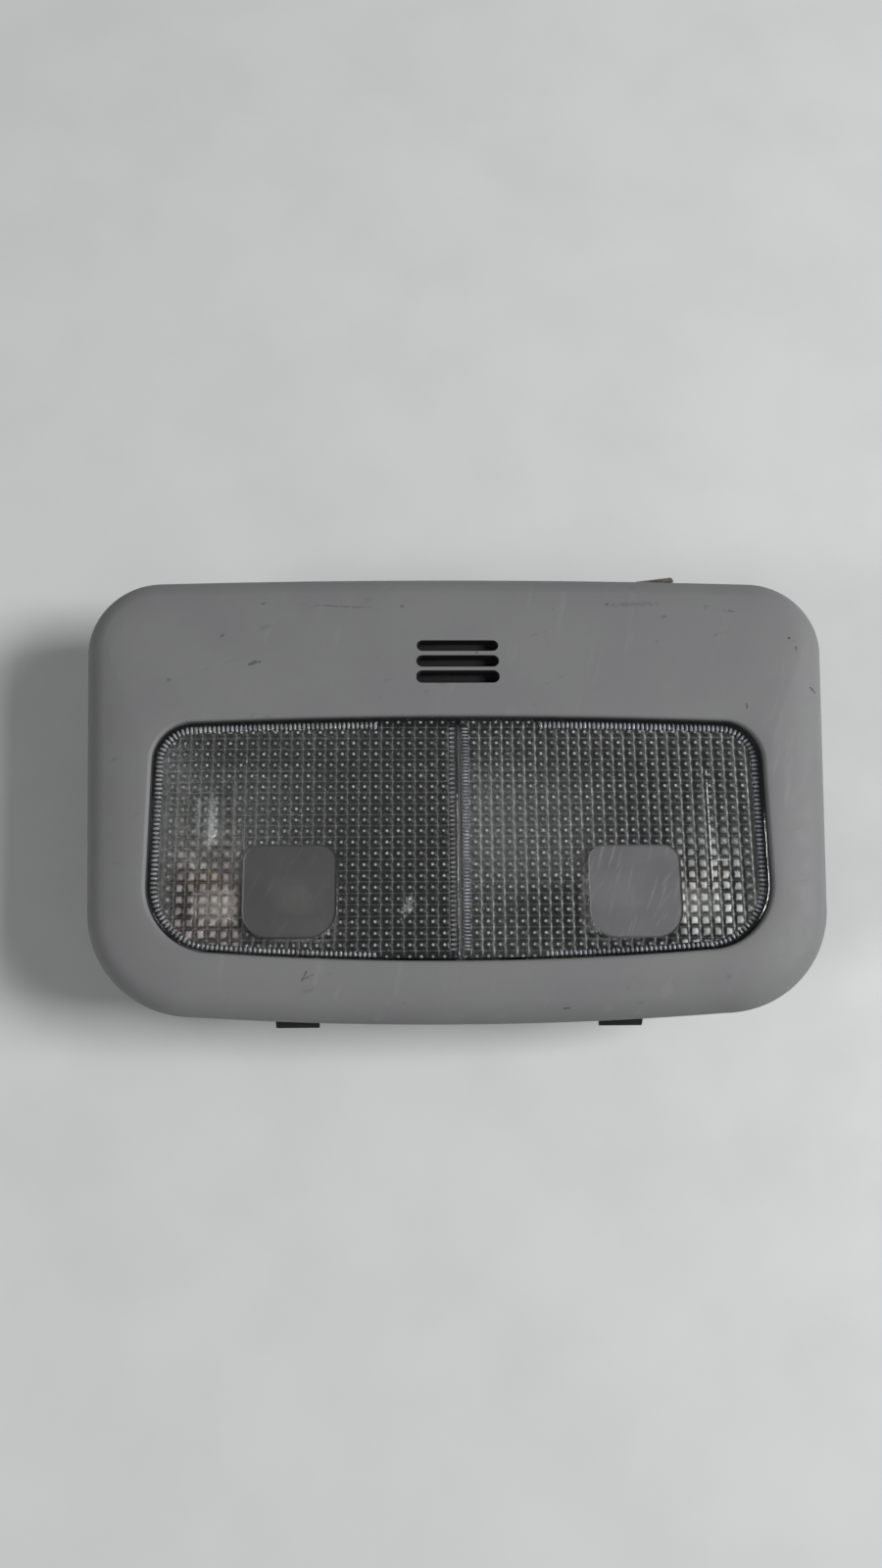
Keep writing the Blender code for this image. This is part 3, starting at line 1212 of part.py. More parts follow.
def build_microphone(frame, finishes):
    """The microphone behind the slots: screen, holder, rubber boot and capsule."""
    y = SLOT_MIDDLE_Y
    screen_low = MIC_SCREEN_TOP_Z - MIC_SCREEN
    half_x = MIC_WIDTH / 2
    half_y = MIC_LENGTH / 2
    screen_bm = box((-half_x, y - half_y, screen_low), (half_x, y + half_y, MIC_SCREEN_TOP_Z))
    place(make_object("microphone_screen", screen_bm, finishes["screen"]), frame)
    low = MIC_HOLDER_TOP_Z - MIC_HEIGHT
    holder_bm = box((-half_x, y - half_y, low), (half_x, y + half_y, MIC_HOLDER_TOP_Z))
    holder = make_object("microphone_holder", holder_bm, finishes["holder"])
    boot_inner = MIC_CAPSULE_RADIUS + SEAT_GAP
    boot_outer = boot_inner + MIC_BOOT_WALL
    cut(holder, cylinder((0, y, low - EMBED), boot_outer + SEAT_GAP, MIC_HEIGHT + 2 * EMBED))
    place(holder, frame)
    capsule_low = MIC_HOLDER_TOP_Z - MIC_CAPSULE_HEIGHT
    boot_bm = cylinder((0, y, capsule_low), boot_outer, MIC_CAPSULE_HEIGHT)
    boot = make_object("microphone_boot", boot_bm, finishes["boot"])
    cut(boot, cylinder((0, y, capsule_low - EMBED), boot_inner, MIC_CAPSULE_HEIGHT + 2 * EMBED))
    place(boot, frame)
    capsule_bm = cylinder((0, y, capsule_low), MIC_CAPSULE_RADIUS, MIC_CAPSULE_HEIGHT)
    place(make_object("microphone_capsule", capsule_bm, finishes["capsule"]), frame)


def clip_path(reach):
    """A clip edge's path in y and z: down inside the tower, round its end, out to a knee and back in."""
    tower_y = BEZEL_TOP - TOWER_SETBACK
    gap = TOWER_THICKNESS / 2 + SEAT_GAP + CLIP_THICKNESS / 2
    end_z = RIM_Z - TOWER_DROP - SEAT_GAP - CLIP_THICKNESS / 2
    knee_y = BEZEL_TOP + reach - CLIP_THICKNESS
    return [(tower_y - gap, end_z + CLIP_LEG_HEIGHT), (tower_y - gap, end_z), (tower_y + gap, end_z),
            (tower_y + gap, end_z + CLIP_LEG_HEIGHT * CLIP_BEND_SHARE),
            (knee_y, RIM_Z - CLIP_KNEE_DROP), (knee_y - CLIP_TIP_RETURN, RIM_Z - CLIP_TIP_DROP)]


def build_clip(frame, name, hand, reaches, finish):
    """A spring-steel clip on its tower. Its two edges reach out by the two given amounts."""
    centre = hand * CLIP_X
    bm = bent_strip(centre - CLIP_WIDTH / 2, clip_path(reaches[0]),
                    centre + CLIP_WIDTH / 2, clip_path(reaches[1]), CLIP_THICKNESS)
    return place(make_object(name, bm, finish), frame)


def build_claw(frame, side, hand, finish):
    """A black claw that snaps over a peg and reaches out under the rim."""
    root = claw_wall_y() - SEAT_GAP
    top = RIM_Z - CLAW_DROP
    foot = top - CLAW_PLATE_HEIGHT
    tip = BEZEL_BOTTOM - CLAW_REACH
    front = root - CLAW_PLATE
    points = [(root, foot), (root, top), (tip + CLAW_TIP_HEIGHT / 2, top), (tip, top - CLAW_TIP_HEIGHT / 2),
              (tip, top - CLAW_TIP_HEIGHT), (front, top - CLAW_FILLET_SHARE * CLAW_TIP_HEIGHT),
              (front, foot)]
    centre = hand * CLAW_X
    claw_bm = side_solid(points, centre - CLAW_WIDTH / 2, centre + CLAW_WIDTH / 2)
    claw = make_object(side + "_lower_claw", claw_bm, finish)
    hole = (centre, front - EMBED, peg_z())
    cut(claw, cylinder(hole, PEG_RADIUS + SEAT_GAP, CLAW_PLATE + 2 * EMBED, "Y"))
    return place(claw, frame)


def main():
    """Build the whole lamp."""
    clear_scene()
    grey = material("grey_moulding", (0.16, 0.16, 0.16), 0.55)
    lens = material("clear_lens", (0.75, 0.77, 0.78), 0.08, alpha=0.4)
    dark = material("dark_housing", (0.1, 0.1, 0.1), 0.5)
    white = material("switch_moulding", (0.45, 0.45, 0.44), 0.5)
    black = material("black_moulding", (0.02, 0.02, 0.02), 0.5)
    brass = material("brass_bar", (0.62, 0.46, 0.2), 0.35, 1.0)
    bright = material("bright_metal", (0.8, 0.8, 0.8), 0.2, 1.0)
    bronze = material("bronze_steel", (0.25, 0.18, 0.13), 0.4, 1.0)
    glass = material("bulb_glass", (0.85, 0.86, 0.86), 0.05, alpha=0.5)
    rubber = material("soft_rubber", (0.03, 0.03, 0.03), 0.8)
    gauze = material("dark_gauze", (0.03, 0.03, 0.03), 0.9)
    ivory = material("ivory_moulding", (0.7, 0.67, 0.58), 0.4)

    frame = bpy.data.objects.new("lamp_frame", None)
    frame.location = (0.0, WINDOW_Y, 0.0)
    bpy.context.scene.collection.objects.link(frame)

    build_bezel(frame, grey)
    build_housing(frame, dark)
    switch_finishes = {"switch_base": black, "switch_case": white, "plunger": ivory, "spring": bright}
    for side, hand in (("left", -1), ("right", 1)):
        build_lens(frame, hand, side + "_lens", lens)
        build_bulb(frame, side, hand, glass)
        build_holder(frame, side, hand, ivory)
        build_reflector(frame, side, hand, bright)
        build_switch(frame, side, hand, switch_finishes)
        build_lamp_bar(frame, side, hand, brass)
        build_claw(frame, side, hand, black)
        for place_name, screw_y in (("upper", SCREW_UPPER_Y), ("lower", SCREW_LOWER_Y)):
            build_screw(frame, side + "_" + place_name + "_screw", hand, screw_y, bright)
    build_clip(frame, "left_spring_clip", -1, (CLIP_REACH, CLIP_REACH), bronze)
    build_clip(frame, "right_spring_clip", 1, (CLIP_BENT_REACH_INNER, CLIP_BENT_REACH_OUTER), bronze)
    build_supply_bar(frame, brass)
    build_ground_bar(frame, brass)
    build_connector(frame, black)
    build_microphone(frame, {"screen": gauze, "holder": black, "boot": rubber, "capsule": bright})
    bpy.context.view_layer.update()


main()
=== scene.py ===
"""Dressed overhead map lamp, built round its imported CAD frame.

Lengths are in metres. Shapes are drawn about the middle of the lens window and then moved to the
frame's own origin, so a piece lies exactly where its CAD node lies.
"""

import logging
import math
from dataclasses import dataclass, replace
from enum import Enum
from functools import cache, cached_property
from typing import Callable, Sequence, TypeVar, Union

import bmesh
import bpy
from mathutils import Matrix, Vector
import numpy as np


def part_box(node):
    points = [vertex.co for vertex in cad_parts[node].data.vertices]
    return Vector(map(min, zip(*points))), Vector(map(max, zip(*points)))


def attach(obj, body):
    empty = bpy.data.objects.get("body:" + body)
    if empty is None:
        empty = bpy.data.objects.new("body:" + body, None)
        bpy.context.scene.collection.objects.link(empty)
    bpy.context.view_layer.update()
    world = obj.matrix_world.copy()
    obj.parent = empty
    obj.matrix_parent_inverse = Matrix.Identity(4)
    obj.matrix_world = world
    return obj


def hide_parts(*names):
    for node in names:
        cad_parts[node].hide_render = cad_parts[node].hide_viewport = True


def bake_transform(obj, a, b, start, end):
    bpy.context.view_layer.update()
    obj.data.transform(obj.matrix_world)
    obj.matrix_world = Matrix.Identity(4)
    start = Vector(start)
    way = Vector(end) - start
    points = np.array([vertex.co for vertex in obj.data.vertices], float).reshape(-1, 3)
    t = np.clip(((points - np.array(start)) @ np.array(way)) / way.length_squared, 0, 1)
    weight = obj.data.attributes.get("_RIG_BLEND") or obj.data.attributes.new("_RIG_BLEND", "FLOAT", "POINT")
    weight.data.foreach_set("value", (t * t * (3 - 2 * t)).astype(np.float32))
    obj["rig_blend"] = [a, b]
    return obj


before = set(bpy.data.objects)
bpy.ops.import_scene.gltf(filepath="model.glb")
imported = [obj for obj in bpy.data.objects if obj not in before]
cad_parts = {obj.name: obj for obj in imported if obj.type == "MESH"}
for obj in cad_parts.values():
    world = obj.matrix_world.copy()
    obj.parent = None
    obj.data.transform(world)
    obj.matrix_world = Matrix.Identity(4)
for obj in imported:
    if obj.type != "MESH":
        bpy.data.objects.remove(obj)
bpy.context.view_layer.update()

LOG = logging.getLogger("map_lamp")
MM = 0.001
QUARTER = math.pi / 2

# Sizes that several sub-assemblies share

WINDOW_Y = -13.95 * MM
FLANGE = 1.8 * MM
PIN_X = 11.4 * MM
SCREW_X = 76.01 * MM
SCREW_ROWS = (20.0 * MM, -8.0 * MM)
OVERLAP = 0.6 * MM

# Types

Choice = TypeVar("Choice")
Colour = tuple[float, float, float]
Point = tuple[float, float]
Number = Union[float, "Value"]
Item = bpy.types.Object
Material = bpy.types.Material
Node = bpy.types.Node
Ring = list[Vector]
Shape = bmesh.types.BMesh
Socket = bpy.types.NodeSocket


class Side(Enum):
    """The lamp's two sides, with the sign of their x."""

    LEFT = -1
    RIGHT = 1

    @property
    def word(self) -> str:
        """The side's name in node and body names."""
        return self.name.lower()

    def pick(self, left: Choice, right: Choice) -> Choice:
        """The value for this side."""
        return left if self is Side.LEFT else right


class Join(Enum):
    """How a shape is worked into a piece."""

    ADD = "UNION"
    CUT = "DIFFERENCE"
    KEEP = "INTERSECT"


class LensFace(Enum):
    """The finishes of a lens's faces, with their material numbers."""

    SKIN = 0
    PRISM = 1
    PAD = 2
    FLUTE = 3
    SIDE = 4


# Node graphs


def math_method(operation: str, swapped: bool = False) -> Callable[..., "Value"]:
    """Make a method of Value that adds one Math node.

    Args:
        operation: what the node works out.
        swapped: puts the other number first, as a reflected operator does.

    Returns:
        The method.
    """

    def method(value: "Value", other: Number = 0.0) -> "Value":
        """Add the node and return what it gives."""
        pair = (other, value) if swapped else (value, other)
        return value.graph.value("ShaderNodeMath", dict(enumerate(pair)), operation=operation)

    return method


class Value:
    """A number socket that Python expressions can work with."""

    __add__ = math_method("ADD")
    __radd__ = math_method("ADD", swapped=True)
    __sub__ = math_method("SUBTRACT")
    __rsub__ = math_method("SUBTRACT", swapped=True)
    __mul__ = math_method("MULTIPLY")
    __rmul__ = math_method("MULTIPLY", swapped=True)
    __truediv__ = math_method("DIVIDE")
    __pow__ = math_method("POWER")
    __abs__ = math_method("ABSOLUTE")
    fraction = math_method("FRACT")
    least = math_method("MINIMUM")
    most = math_method("MAXIMUM")
    over = math_method("GREATER_THAN")

    def __init__(self, graph: "Graph", socket: Socket) -> None:
        """Wrap a socket of a graph."""
        self.graph = graph
        self.socket = socket

    def step(self, low: float, high: float) -> "Value":
        """A soft step from 0 at low to 1 at high; low may be the larger."""
        limits = {"Value": self, "From Min": low, "From Max": high, "To Min": 0.0, "To Max": 1.0}
        return self.graph.value("ShaderNodeMapRange", limits, interpolation_type="SMOOTHSTEP")


class Graph:
    """A node tree that expressions and one node method add to."""

    def __init__(self, tree: bpy.types.NodeTree) -> None:
        """Work on a node tree."""
        self.tree = tree

    def node(self, kind: str, inputs: dict | None = None, **settings: object) -> Node:
        """Add a node.

        Args:
            kind: the node's type name.
            inputs: what its sockets get, by name or number: a number, a value, a socket or a node.
            settings: properties that are set before anything else.

        Returns:
            The new node.
        """
        made = self.tree.nodes.new(kind)
        for name, setting in settings.items():
            setattr(made, name, setting)
        for key, given in (inputs or {}).items():
            if isinstance(given, Node):
                given = given.outputs[0]
            elif isinstance(given, Value):
                given = given.socket
            if isinstance(given, Socket):
                self.tree.links.new(given, made.inputs[key])
            else:
                made.inputs[key].default_value = given
        return made

    def value(
        self, kind: str, inputs: dict | None = None, output: int = 0, **settings: object
    ) -> Value:
        """Add a node and return one of its outputs as a value."""
        return Value(self, self.node(kind, inputs, **settings).outputs[output])

    def axes(self, vector: object) -> tuple[Value, Value, Value]:
        """Split a vector into its three numbers."""
        parts = self.node("ShaderNodeSeparateXYZ", {0: vector}).outputs
        return tuple(Value(self, part) for part in parts)

    def vector(self, *parts: Number) -> Node:
        """Join three numbers into a vector."""
        return self.node("ShaderNodeCombineXYZ", dict(enumerate(parts)))


@dataclass(frozen=True)
class Mark:
    """One mark, in millimetres from the window's middle and degrees: a scuff, a speck, or a painted
    highlight line.
    """

    x: float
    y: float
    length: float
    width: float
    turn: float
    tone: float


class Paint(Graph):
    """A material's node tree, with the textures that the finishes share."""

    def __init__(self, name: str) -> None:
        """Start an empty material with a name.

        Args:
            name: the material's name.
        """
        self.material = bpy.data.materials.new(name)
        self.material.use_nodes = True
        super().__init__(self.material.node_tree)
        self.tree.nodes.clear()
        self.place = self.node("ShaderNodeTexCoord").outputs["Object"]

    def noise(
        self,
        scale: float,
        detail: float = 3.0,
        stretch: Sequence[float] = (1, 1, 1),
        turn: float = 0.0,
    ) -> Value:
        """Noise on the piece's own coordinates, from about 0.3 to 0.7.

        Args:
            scale: noise cells to the metre.
            detail: finer layers on top.
            stretch: how many times longer the noise is along each axis.
            turn: angle of those axes about z, in radians.

        Returns:
            The noise as a value.
        """
        placing = {"Vector": self.place, "Scale": stretch, "Rotation": (0.0, 0.0, turn)}
        mapped = self.node("ShaderNodeMapping", placing, vector_type="TEXTURE")
        inputs = {"Vector": mapped, "Scale": scale, "Detail": detail}
        return self.value("ShaderNodeTexNoise", inputs)

    def mix(self, first: object, second: object, factor: Number) -> Socket:
        """Blend two colours, each a plain one or a link."""
        pair = [(*tone, 1.0) if isinstance(tone, tuple) else tone for tone in (first, second)]
        inputs = {0: factor, 6: pair[0], 7: pair[1]}
        return self.node("ShaderNodeMix", inputs, data_type="RGBA").outputs[2]

    def bump(self, height: Value, depth: float) -> Node:
        """A normal that stands for a height of 0 to 1 times a depth."""
        return self.node("ShaderNodeBump", {"Height": height, "Distance": depth, "Strength": 1.0})

    def surface(self, **inputs: object) -> Node:
        """A Principled shader, with words for its sockets, such as base_color."""
        titles = {word: word.replace("_", " ").title().replace("Ior", "IOR") for word in inputs}
        named = {titles[word]: inputs[word] for word in inputs}
        return self.node("ShaderNodeBsdfPrincipled", named)

    def blend(self, first: Node, second: Node, factor: Value) -> Node:
        """A shader between two shaders."""
        return self.node("ShaderNodeMixShader", {0: factor, 1: first, 2: second})

    def marks(self, marks: Sequence[Mark], mask: Number = 0.0) -> Value:
        """Lay marks with broken edges over a mask.

        Args:
            marks: the marks.
            mask: what they are laid over.

        Returns:
            The mask with the marks in it.
        """
        x, y, _ = self.axes(self.place)
        ragged = (self.noise(1500.0, 2.0) - 0.5) * 1.6
        for mark in marks:
            cosine, sine = math.cos(math.radians(mark.turn)), math.sin(math.radians(mark.turn))
            right, up = x - mark.x * MM, y - (mark.y * MM + WINDOW_Y)
            along = (right * cosine + up * sine) / (mark.length * MM)
            across = (up * cosine - right * sine) / (mark.width * MM)
            far = along ** 2.0 + across ** 2.0
            mask = ((far + ragged).step(0.3, 0.12) * mark.tone).most(mask)
        return mask

    def finish(self, shader: Node) -> Material:
        """Make a shader the material's surface."""
        self.node("ShaderNodeOutputMaterial", {"Surface": shader})
        return self.material


# Finishes


def shaded(colour: Colour, share: float) -> Colour:
    """A colour made darker or lighter."""
    return tuple(min(part * share, 1.0) for part in colour)


@dataclass(frozen=True)
class Finish:
    """A finish with a name; each kind draws a shader of its own."""

    name: str

    def shader(self, paint: Paint) -> Node:
        """Draw the finish's shader on a paint.

        Args:
            paint: the material's tree.

        Returns:
            The surface shader.
        """
        raise NotImplementedError

    @cache
    def material(self) -> Material:
        """The finished material, which is made once."""
        paint = Paint(self.name)
        return paint.finish(self.shader(paint))


@dataclass(frozen=True)
class Moulding(Finish):
    """Moulded plastic: fine grain, cloudy tone and light wear."""

    colour: Colour
    second: Colour
    roughness: float = 0.5
    shine: float = 0.5
    grain: float = 5200.0
    grain_depth: float = 0.02 * MM
    wear: float = 0.0
    marks: tuple[Mark, ...] = ()
    rubbed_tone: float = 1.28
    scuffed_tone: float = 0.42

    def shader(self, paint: Paint) -> Node:
        """Draw the clouds, the rubbed places, the scuffs and the grain.

        Args:
            paint: the material's tree.

        Returns:
            The surface shader.
        """
        clouds = paint.noise(38.0, 4.0).step(0.36, 0.64)
        fleck = paint.noise(900.0, 2.0).step(0.3, 0.7)
        base = paint.mix(self.colour, self.second, clouds * 0.8 + fleck * 0.2)
        rubbed = paint.noise(260.0, 5.0, (6.0, 1.0, 1.0), 1.3).step(0.6, 0.74) * self.wear
        dark = paint.noise(420.0, 5.0, (3.0, 1.0, 1.0), 0.35).step(0.66, 0.76) * self.wear * 0.5
        dark = dark.most(self.specks(paint) * self.wear)
        if self.marks:
            dark = paint.marks(self.marks, dark)
        pale = paint.mix(base, shaded(self.second, self.rubbed_tone), rubbed * 0.6)
        return paint.surface(
            base_color=paint.mix(pale, shaded(self.colour, self.scuffed_tone), dark),
            roughness=self.roughness + (paint.noise(300.0) - 0.5) * 0.16 - rubbed * 0.12,
            specular_ior_level=self.shine,
            normal=paint.bump(paint.noise(self.grain, 2.0), self.grain_depth),
        )

    @staticmethod
    def specks(paint: Paint) -> Value:
        """The mask of scattered small dark specks.

        Args:
            paint: the material's tree.

        Returns:
            The mask.
        """
        cells = paint.node("ShaderNodeTexVoronoi", {"Vector": paint.place, "Scale": 170.0})
        chance, size, _ = paint.axes(cells.outputs["Color"])
        far = Value(paint, cells.outputs["Distance"]) + (paint.noise(1300.0) - 0.5) * 0.12
        return far.step(0.11, 0.04) * chance.over(0.72) * size


@dataclass(frozen=True)
class Metal(Finish):
    """Sheet or wire metal, drawn along y, with some tarnish."""

    colour: Colour
    tarnish: Colour
    roughness: float = 0.3
    amount: float = 0.5
    drawn: tuple[float, float, float] = (1.0, 16.0, 1.0)
    line_depth: float = 0.008 * MM

    def shader(self, paint: Paint) -> Node:
        """Draw the tarnish and the drawing lines.

        Args:
            paint: the material's tree.

        Returns:
            The surface shader.
        """
        stain = paint.noise(210.0, 4.0).step(0.42, 0.68)
        lines = paint.noise(4200.0, 2.0, self.drawn)
        return paint.surface(
            base_color=paint.mix(self.colour, self.tarnish, stain * self.amount),
            metallic=1.0,
            roughness=self.roughness + stain * 0.14 + (lines - 0.5) * 0.2,
            normal=paint.bump(lines, self.line_depth),
        )


@dataclass(frozen=True)
class ClearSkin(Finish):
    """The polished outside of clear plastic or glass, which mirrors at a low angle."""

    gloss: float = 1.0
    haze: float = 0.02
    tint: float = 1.0
    roughness: float = 0.06
    marks: tuple[Mark, ...] = ()
    tones: tuple[Colour, Colour] = ((0.88, 0.9, 0.9), (0.8, 0.82, 0.83))
    mark_tone: Colour = (0.7, 0.71, 0.71)
    facing_mirror: float = 0.04

    def shader(self, paint: Paint) -> Node:
        """Draw the mirror that strengthens at a low angle, the smears, and the pale marks, which on the
        right lens are painted highlight lines.

        Args:
            paint: the material's tree.

        Returns:
            The surface shader.
        """
        grazing = paint.value("ShaderNodeLayerWeight", {"Blend": 0.5}, output=1)
        mirror = self.facing_mirror + (1.0 - self.facing_mirror) * grazing ** 5.0
        smear = paint.noise(120.0, 4.0, (3.0, 1.0, 1.0), 0.5).step(0.5, 0.72)
        polish = paint.surface(
            base_color=paint.mix(*(shaded(tone, self.tint) for tone in self.tones), smear),
            metallic=1.0,
            roughness=self.roughness + smear * 0.1,
            alpha=(mirror * self.gloss + self.haze + smear * 0.012).least(1.0),
        )
        if not self.marks:
            return polish
        # Pale marks: a smudge, and painted highlight lines.
        pale = paint.surface(base_color=(*self.mark_tone, 1.0), roughness=0.5)
        return paint.blend(polish, pale, paint.marks(self.marks))


@dataclass(frozen=True)
class PrismFace(Finish):
    """The prismatic back of a lens: it bends the view, and painted highlights on each tip and along the cell
    borders stand for the light that they catch.
    """

    pitch: float
    inner_x: float
    top_y: float
    # Highlight strengths and the pale colour are for painted highlights; shade is the colour of painted
    # shade.
    ridge_x: float
    glow: float
    glow_tone: Colour
    ridge_y: float = 0.14
    # Strength of the painted highlight on each tip.
    tip: float = 0.7
    pale: Colour = (0.62, 0.64, 0.64)
    clear: Colour = (0.9, 0.92, 0.92)
    shade: Colour = (0.4, 0.41, 0.42)
    glow_x: Point = (48.0 * MM, 63.0 * MM)
    glow_y: Point = (-13.0 * MM, 9.0 * MM)
    fade: float = 1.5 * MM

    def shader(self, paint: Paint) -> Node:
        """Draw the clear cells, with painted highlights on each tip and cell border, pale squares of painted
        light from the bulb holder, and painted shade.

        Args:
            paint: the material's tree.

        Returns:
            The surface shader.
        """
        x, y, _ = paint.axes(paint.place)
        column = ((abs(x) - self.inner_x) / self.pitch).fraction() - 0.5
        row = ((self.top_y + WINDOW_Y - y) / self.pitch).fraction() - 0.5
        uneven = paint.noise(260.0, 3.0).step(0.3, 0.7)
        far = (column ** 2.0 + row ** 2.0) ** 0.5
        square = abs(column).most(abs(row) * 0.85) + (paint.noise(700.0, 2.0) - 0.5) * 0.3
        # Painted light: cells in front of the bulb holder are painted pale.
        behind = self.lamp_side(abs(x), y)
        # Painted highlights: a dot on each tip, and pale squares where the bulb holder lies behind.
        painted_tip_glints = (far.step(0.17, 0.06) * self.tip).most(square.step(0.32, 0.16) * behind * self.glow)
        # Painted highlights along the cell borders: column lines, then row lines.
        painted_column_glints = abs(column).step(0.38, 0.49) * self.ridge_x * (0.25 + abs(row) * 2.0)
        level = abs(row).step(0.4, 0.49) * self.ridge_y * (0.5 + abs(column))
        painted_highlight = painted_tip_glints.most(painted_column_glints + level) * (uneven * 0.55 + 0.45)
        # Painted shade: a dark ring round each dot, and the first column beside the other lens darkened
        # where the centre wall's shadow falls.
        first = self.inner_x + self.pitch
        shade = far.step(0.12, 0.2) * far.step(0.44, 0.26)
        shade = shade.most(abs(x).step(first + 0.1 * MM, first - 0.2 * MM) * 0.7)
        clear = paint.surface(
            base_color=paint.mix(self.clear, self.shade, shade),
            roughness=0.42,
            ior=1.25,
            specular_ior_level=0.1,
            transmission_weight=1.0,
            alpha=0.6 + shade * 0.25,
        )
        pale = paint.surface(base_color=paint.mix(self.pale, self.glow_tone, behind), roughness=0.4)
        return paint.blend(clear, pale, painted_highlight)

    def lamp_side(self, x: Value, y: Value) -> Value:
        """How much painted light from the pale bulb holder each cell gets, where the holder lies behind it.

        Args:
            x: distance from the lamp's middle.
            y: height in the frame.

        Returns:
            From 0 to 1.
        """
        near, far = self.glow_x
        low, high = self.glow_y
        after = x.step(near - self.fade, near + self.fade)
        before = x.step(far + self.fade, far - self.fade)
        return after * before * (y - WINDOW_Y).step(high, low)


@dataclass(frozen=True)
class FluteFace(Finish):
    """The fluted border of a lens, with a painted highlight on the crest of each flute."""

    foot_z: float
    crest: float
    pale: Colour
    strength: float = 0.5
    dark: Colour = (0.55, 0.56, 0.57)
    clear: Colour = (0.8, 0.82, 0.82)

    def shader(self, paint: Paint) -> Node:
        """Draw the clear flutes and the painted highlights on their crests.

        Args:
            paint: the material's tree.

        Returns:
            The surface shader.
        """
        _, _, z = paint.axes(paint.place)
        uneven = paint.noise(300.0, 3.0).step(0.3, 0.7)
        height = (z - self.foot_z) / self.crest
        # Painted highlight, paler higher up each flute.
        painted_highlight = height.step(0.25, 0.9) * (uneven * 0.5 + 0.5) * self.strength
        clear = paint.surface(
            base_color=paint.mix(self.dark, self.clear, uneven),
            roughness=0.08,
            ior=1.49,
            transmission_weight=1.0,
            alpha=0.7,
        )
        return paint.blend(clear, paint.surface(base_color=(*self.pale, 1.0), roughness=0.35), painted_highlight)


@dataclass(frozen=True)
class FrostedPad(Finish):
    """The finely etched finger pad of a lens."""

    colour: Colour
    scratched: float
    veil: float = 0.95
    scratch_tone: Colour = (0.5, 0.51, 0.51)
    etch_depth: float = 0.012 * MM

    def shader(self, paint: Paint) -> Node:
        """Draw the clouded etching and the scratches on it.

        Args:
            paint: the material's tree.

        Returns:
            The surface shader.
        """
        cloud = paint.noise(110.0, 4.0).step(0.35, 0.65)
        worn = paint.noise(900.0, 4.0, (10.0, 1.0, 1.0), 1.2).step(0.56, 0.74)
        crossed = paint.noise(800.0, 4.0, (6.0, 1.0, 1.0), 0.9).step(0.6, 0.74)
        scratch = worn.most(crossed * 0.7) * self.scratched
        base = paint.mix(self.colour, shaded(self.colour, 0.82), cloud)
        return paint.surface(
            base_color=paint.mix(base, self.scratch_tone, scratch),
            roughness=0.42 + cloud * 0.12,
            alpha=self.veil + scratch * (1.0 - self.veil),
            normal=paint.bump(paint.noise(7000.0, 2.0), self.etch_depth),
        )


@dataclass(frozen=True)
class Gauze(Finish):
    """A woven dust screen, with its threads along x and y."""

    colour: Colour
    thread: float
    weave_depth: float = 0.1 * MM

    def shader(self, paint: Paint) -> Node:
        """Draw the weave.

        Args:
            paint: the material's tree.

        Returns:
            The surface shader.
        """
        x, y, _ = paint.axes(paint.place)
        warp, weft = (abs((line / self.thread).fraction() - 0.5) * 2.0 for line in (x, y))
        weave = warp.most(weft)
        return paint.surface(
            base_color=paint.mix(self.colour, shaded(self.colour, 0.25), weave.step(0.75, 0.95)),
            roughness=0.85 + weave * 0.1,
            normal=paint.bump(1.0 - weave, self.weave_depth),
        )


@dataclass(frozen=True)
class TableTop(Finish):
    """The pale, faintly mottled table."""

    colour: Colour
    second: Colour

    def shader(self, paint: Paint) -> Node:
        """Draw the mottled tone.

        Args:
            paint: the material's tree.

        Returns:
            The surface shader.
        """
        mottle = paint.noise(30.0, 6.0).step(0.3, 0.75)
        tone = paint.mix(self.colour, self.second, mottle)
        return paint.surface(base_color=tone, roughness=0.55 + mottle * 0.1)


# Mesh work


def arc(steps: int, turn: float = QUARTER, start: float = 0.0) -> list[Point]:
    """Cosine and sine of the angles at even steps along a turn, with both its ends."""
    angles = [start + turn * step / steps for step in range(steps + 1)]
    return [(math.cos(angle), math.sin(angle)) for angle in angles]


def raised(points: Sequence[Point], z: float) -> Ring:
    """Points of a plane, at a height."""
    return [Vector((x, y, z)) for x, y in points]


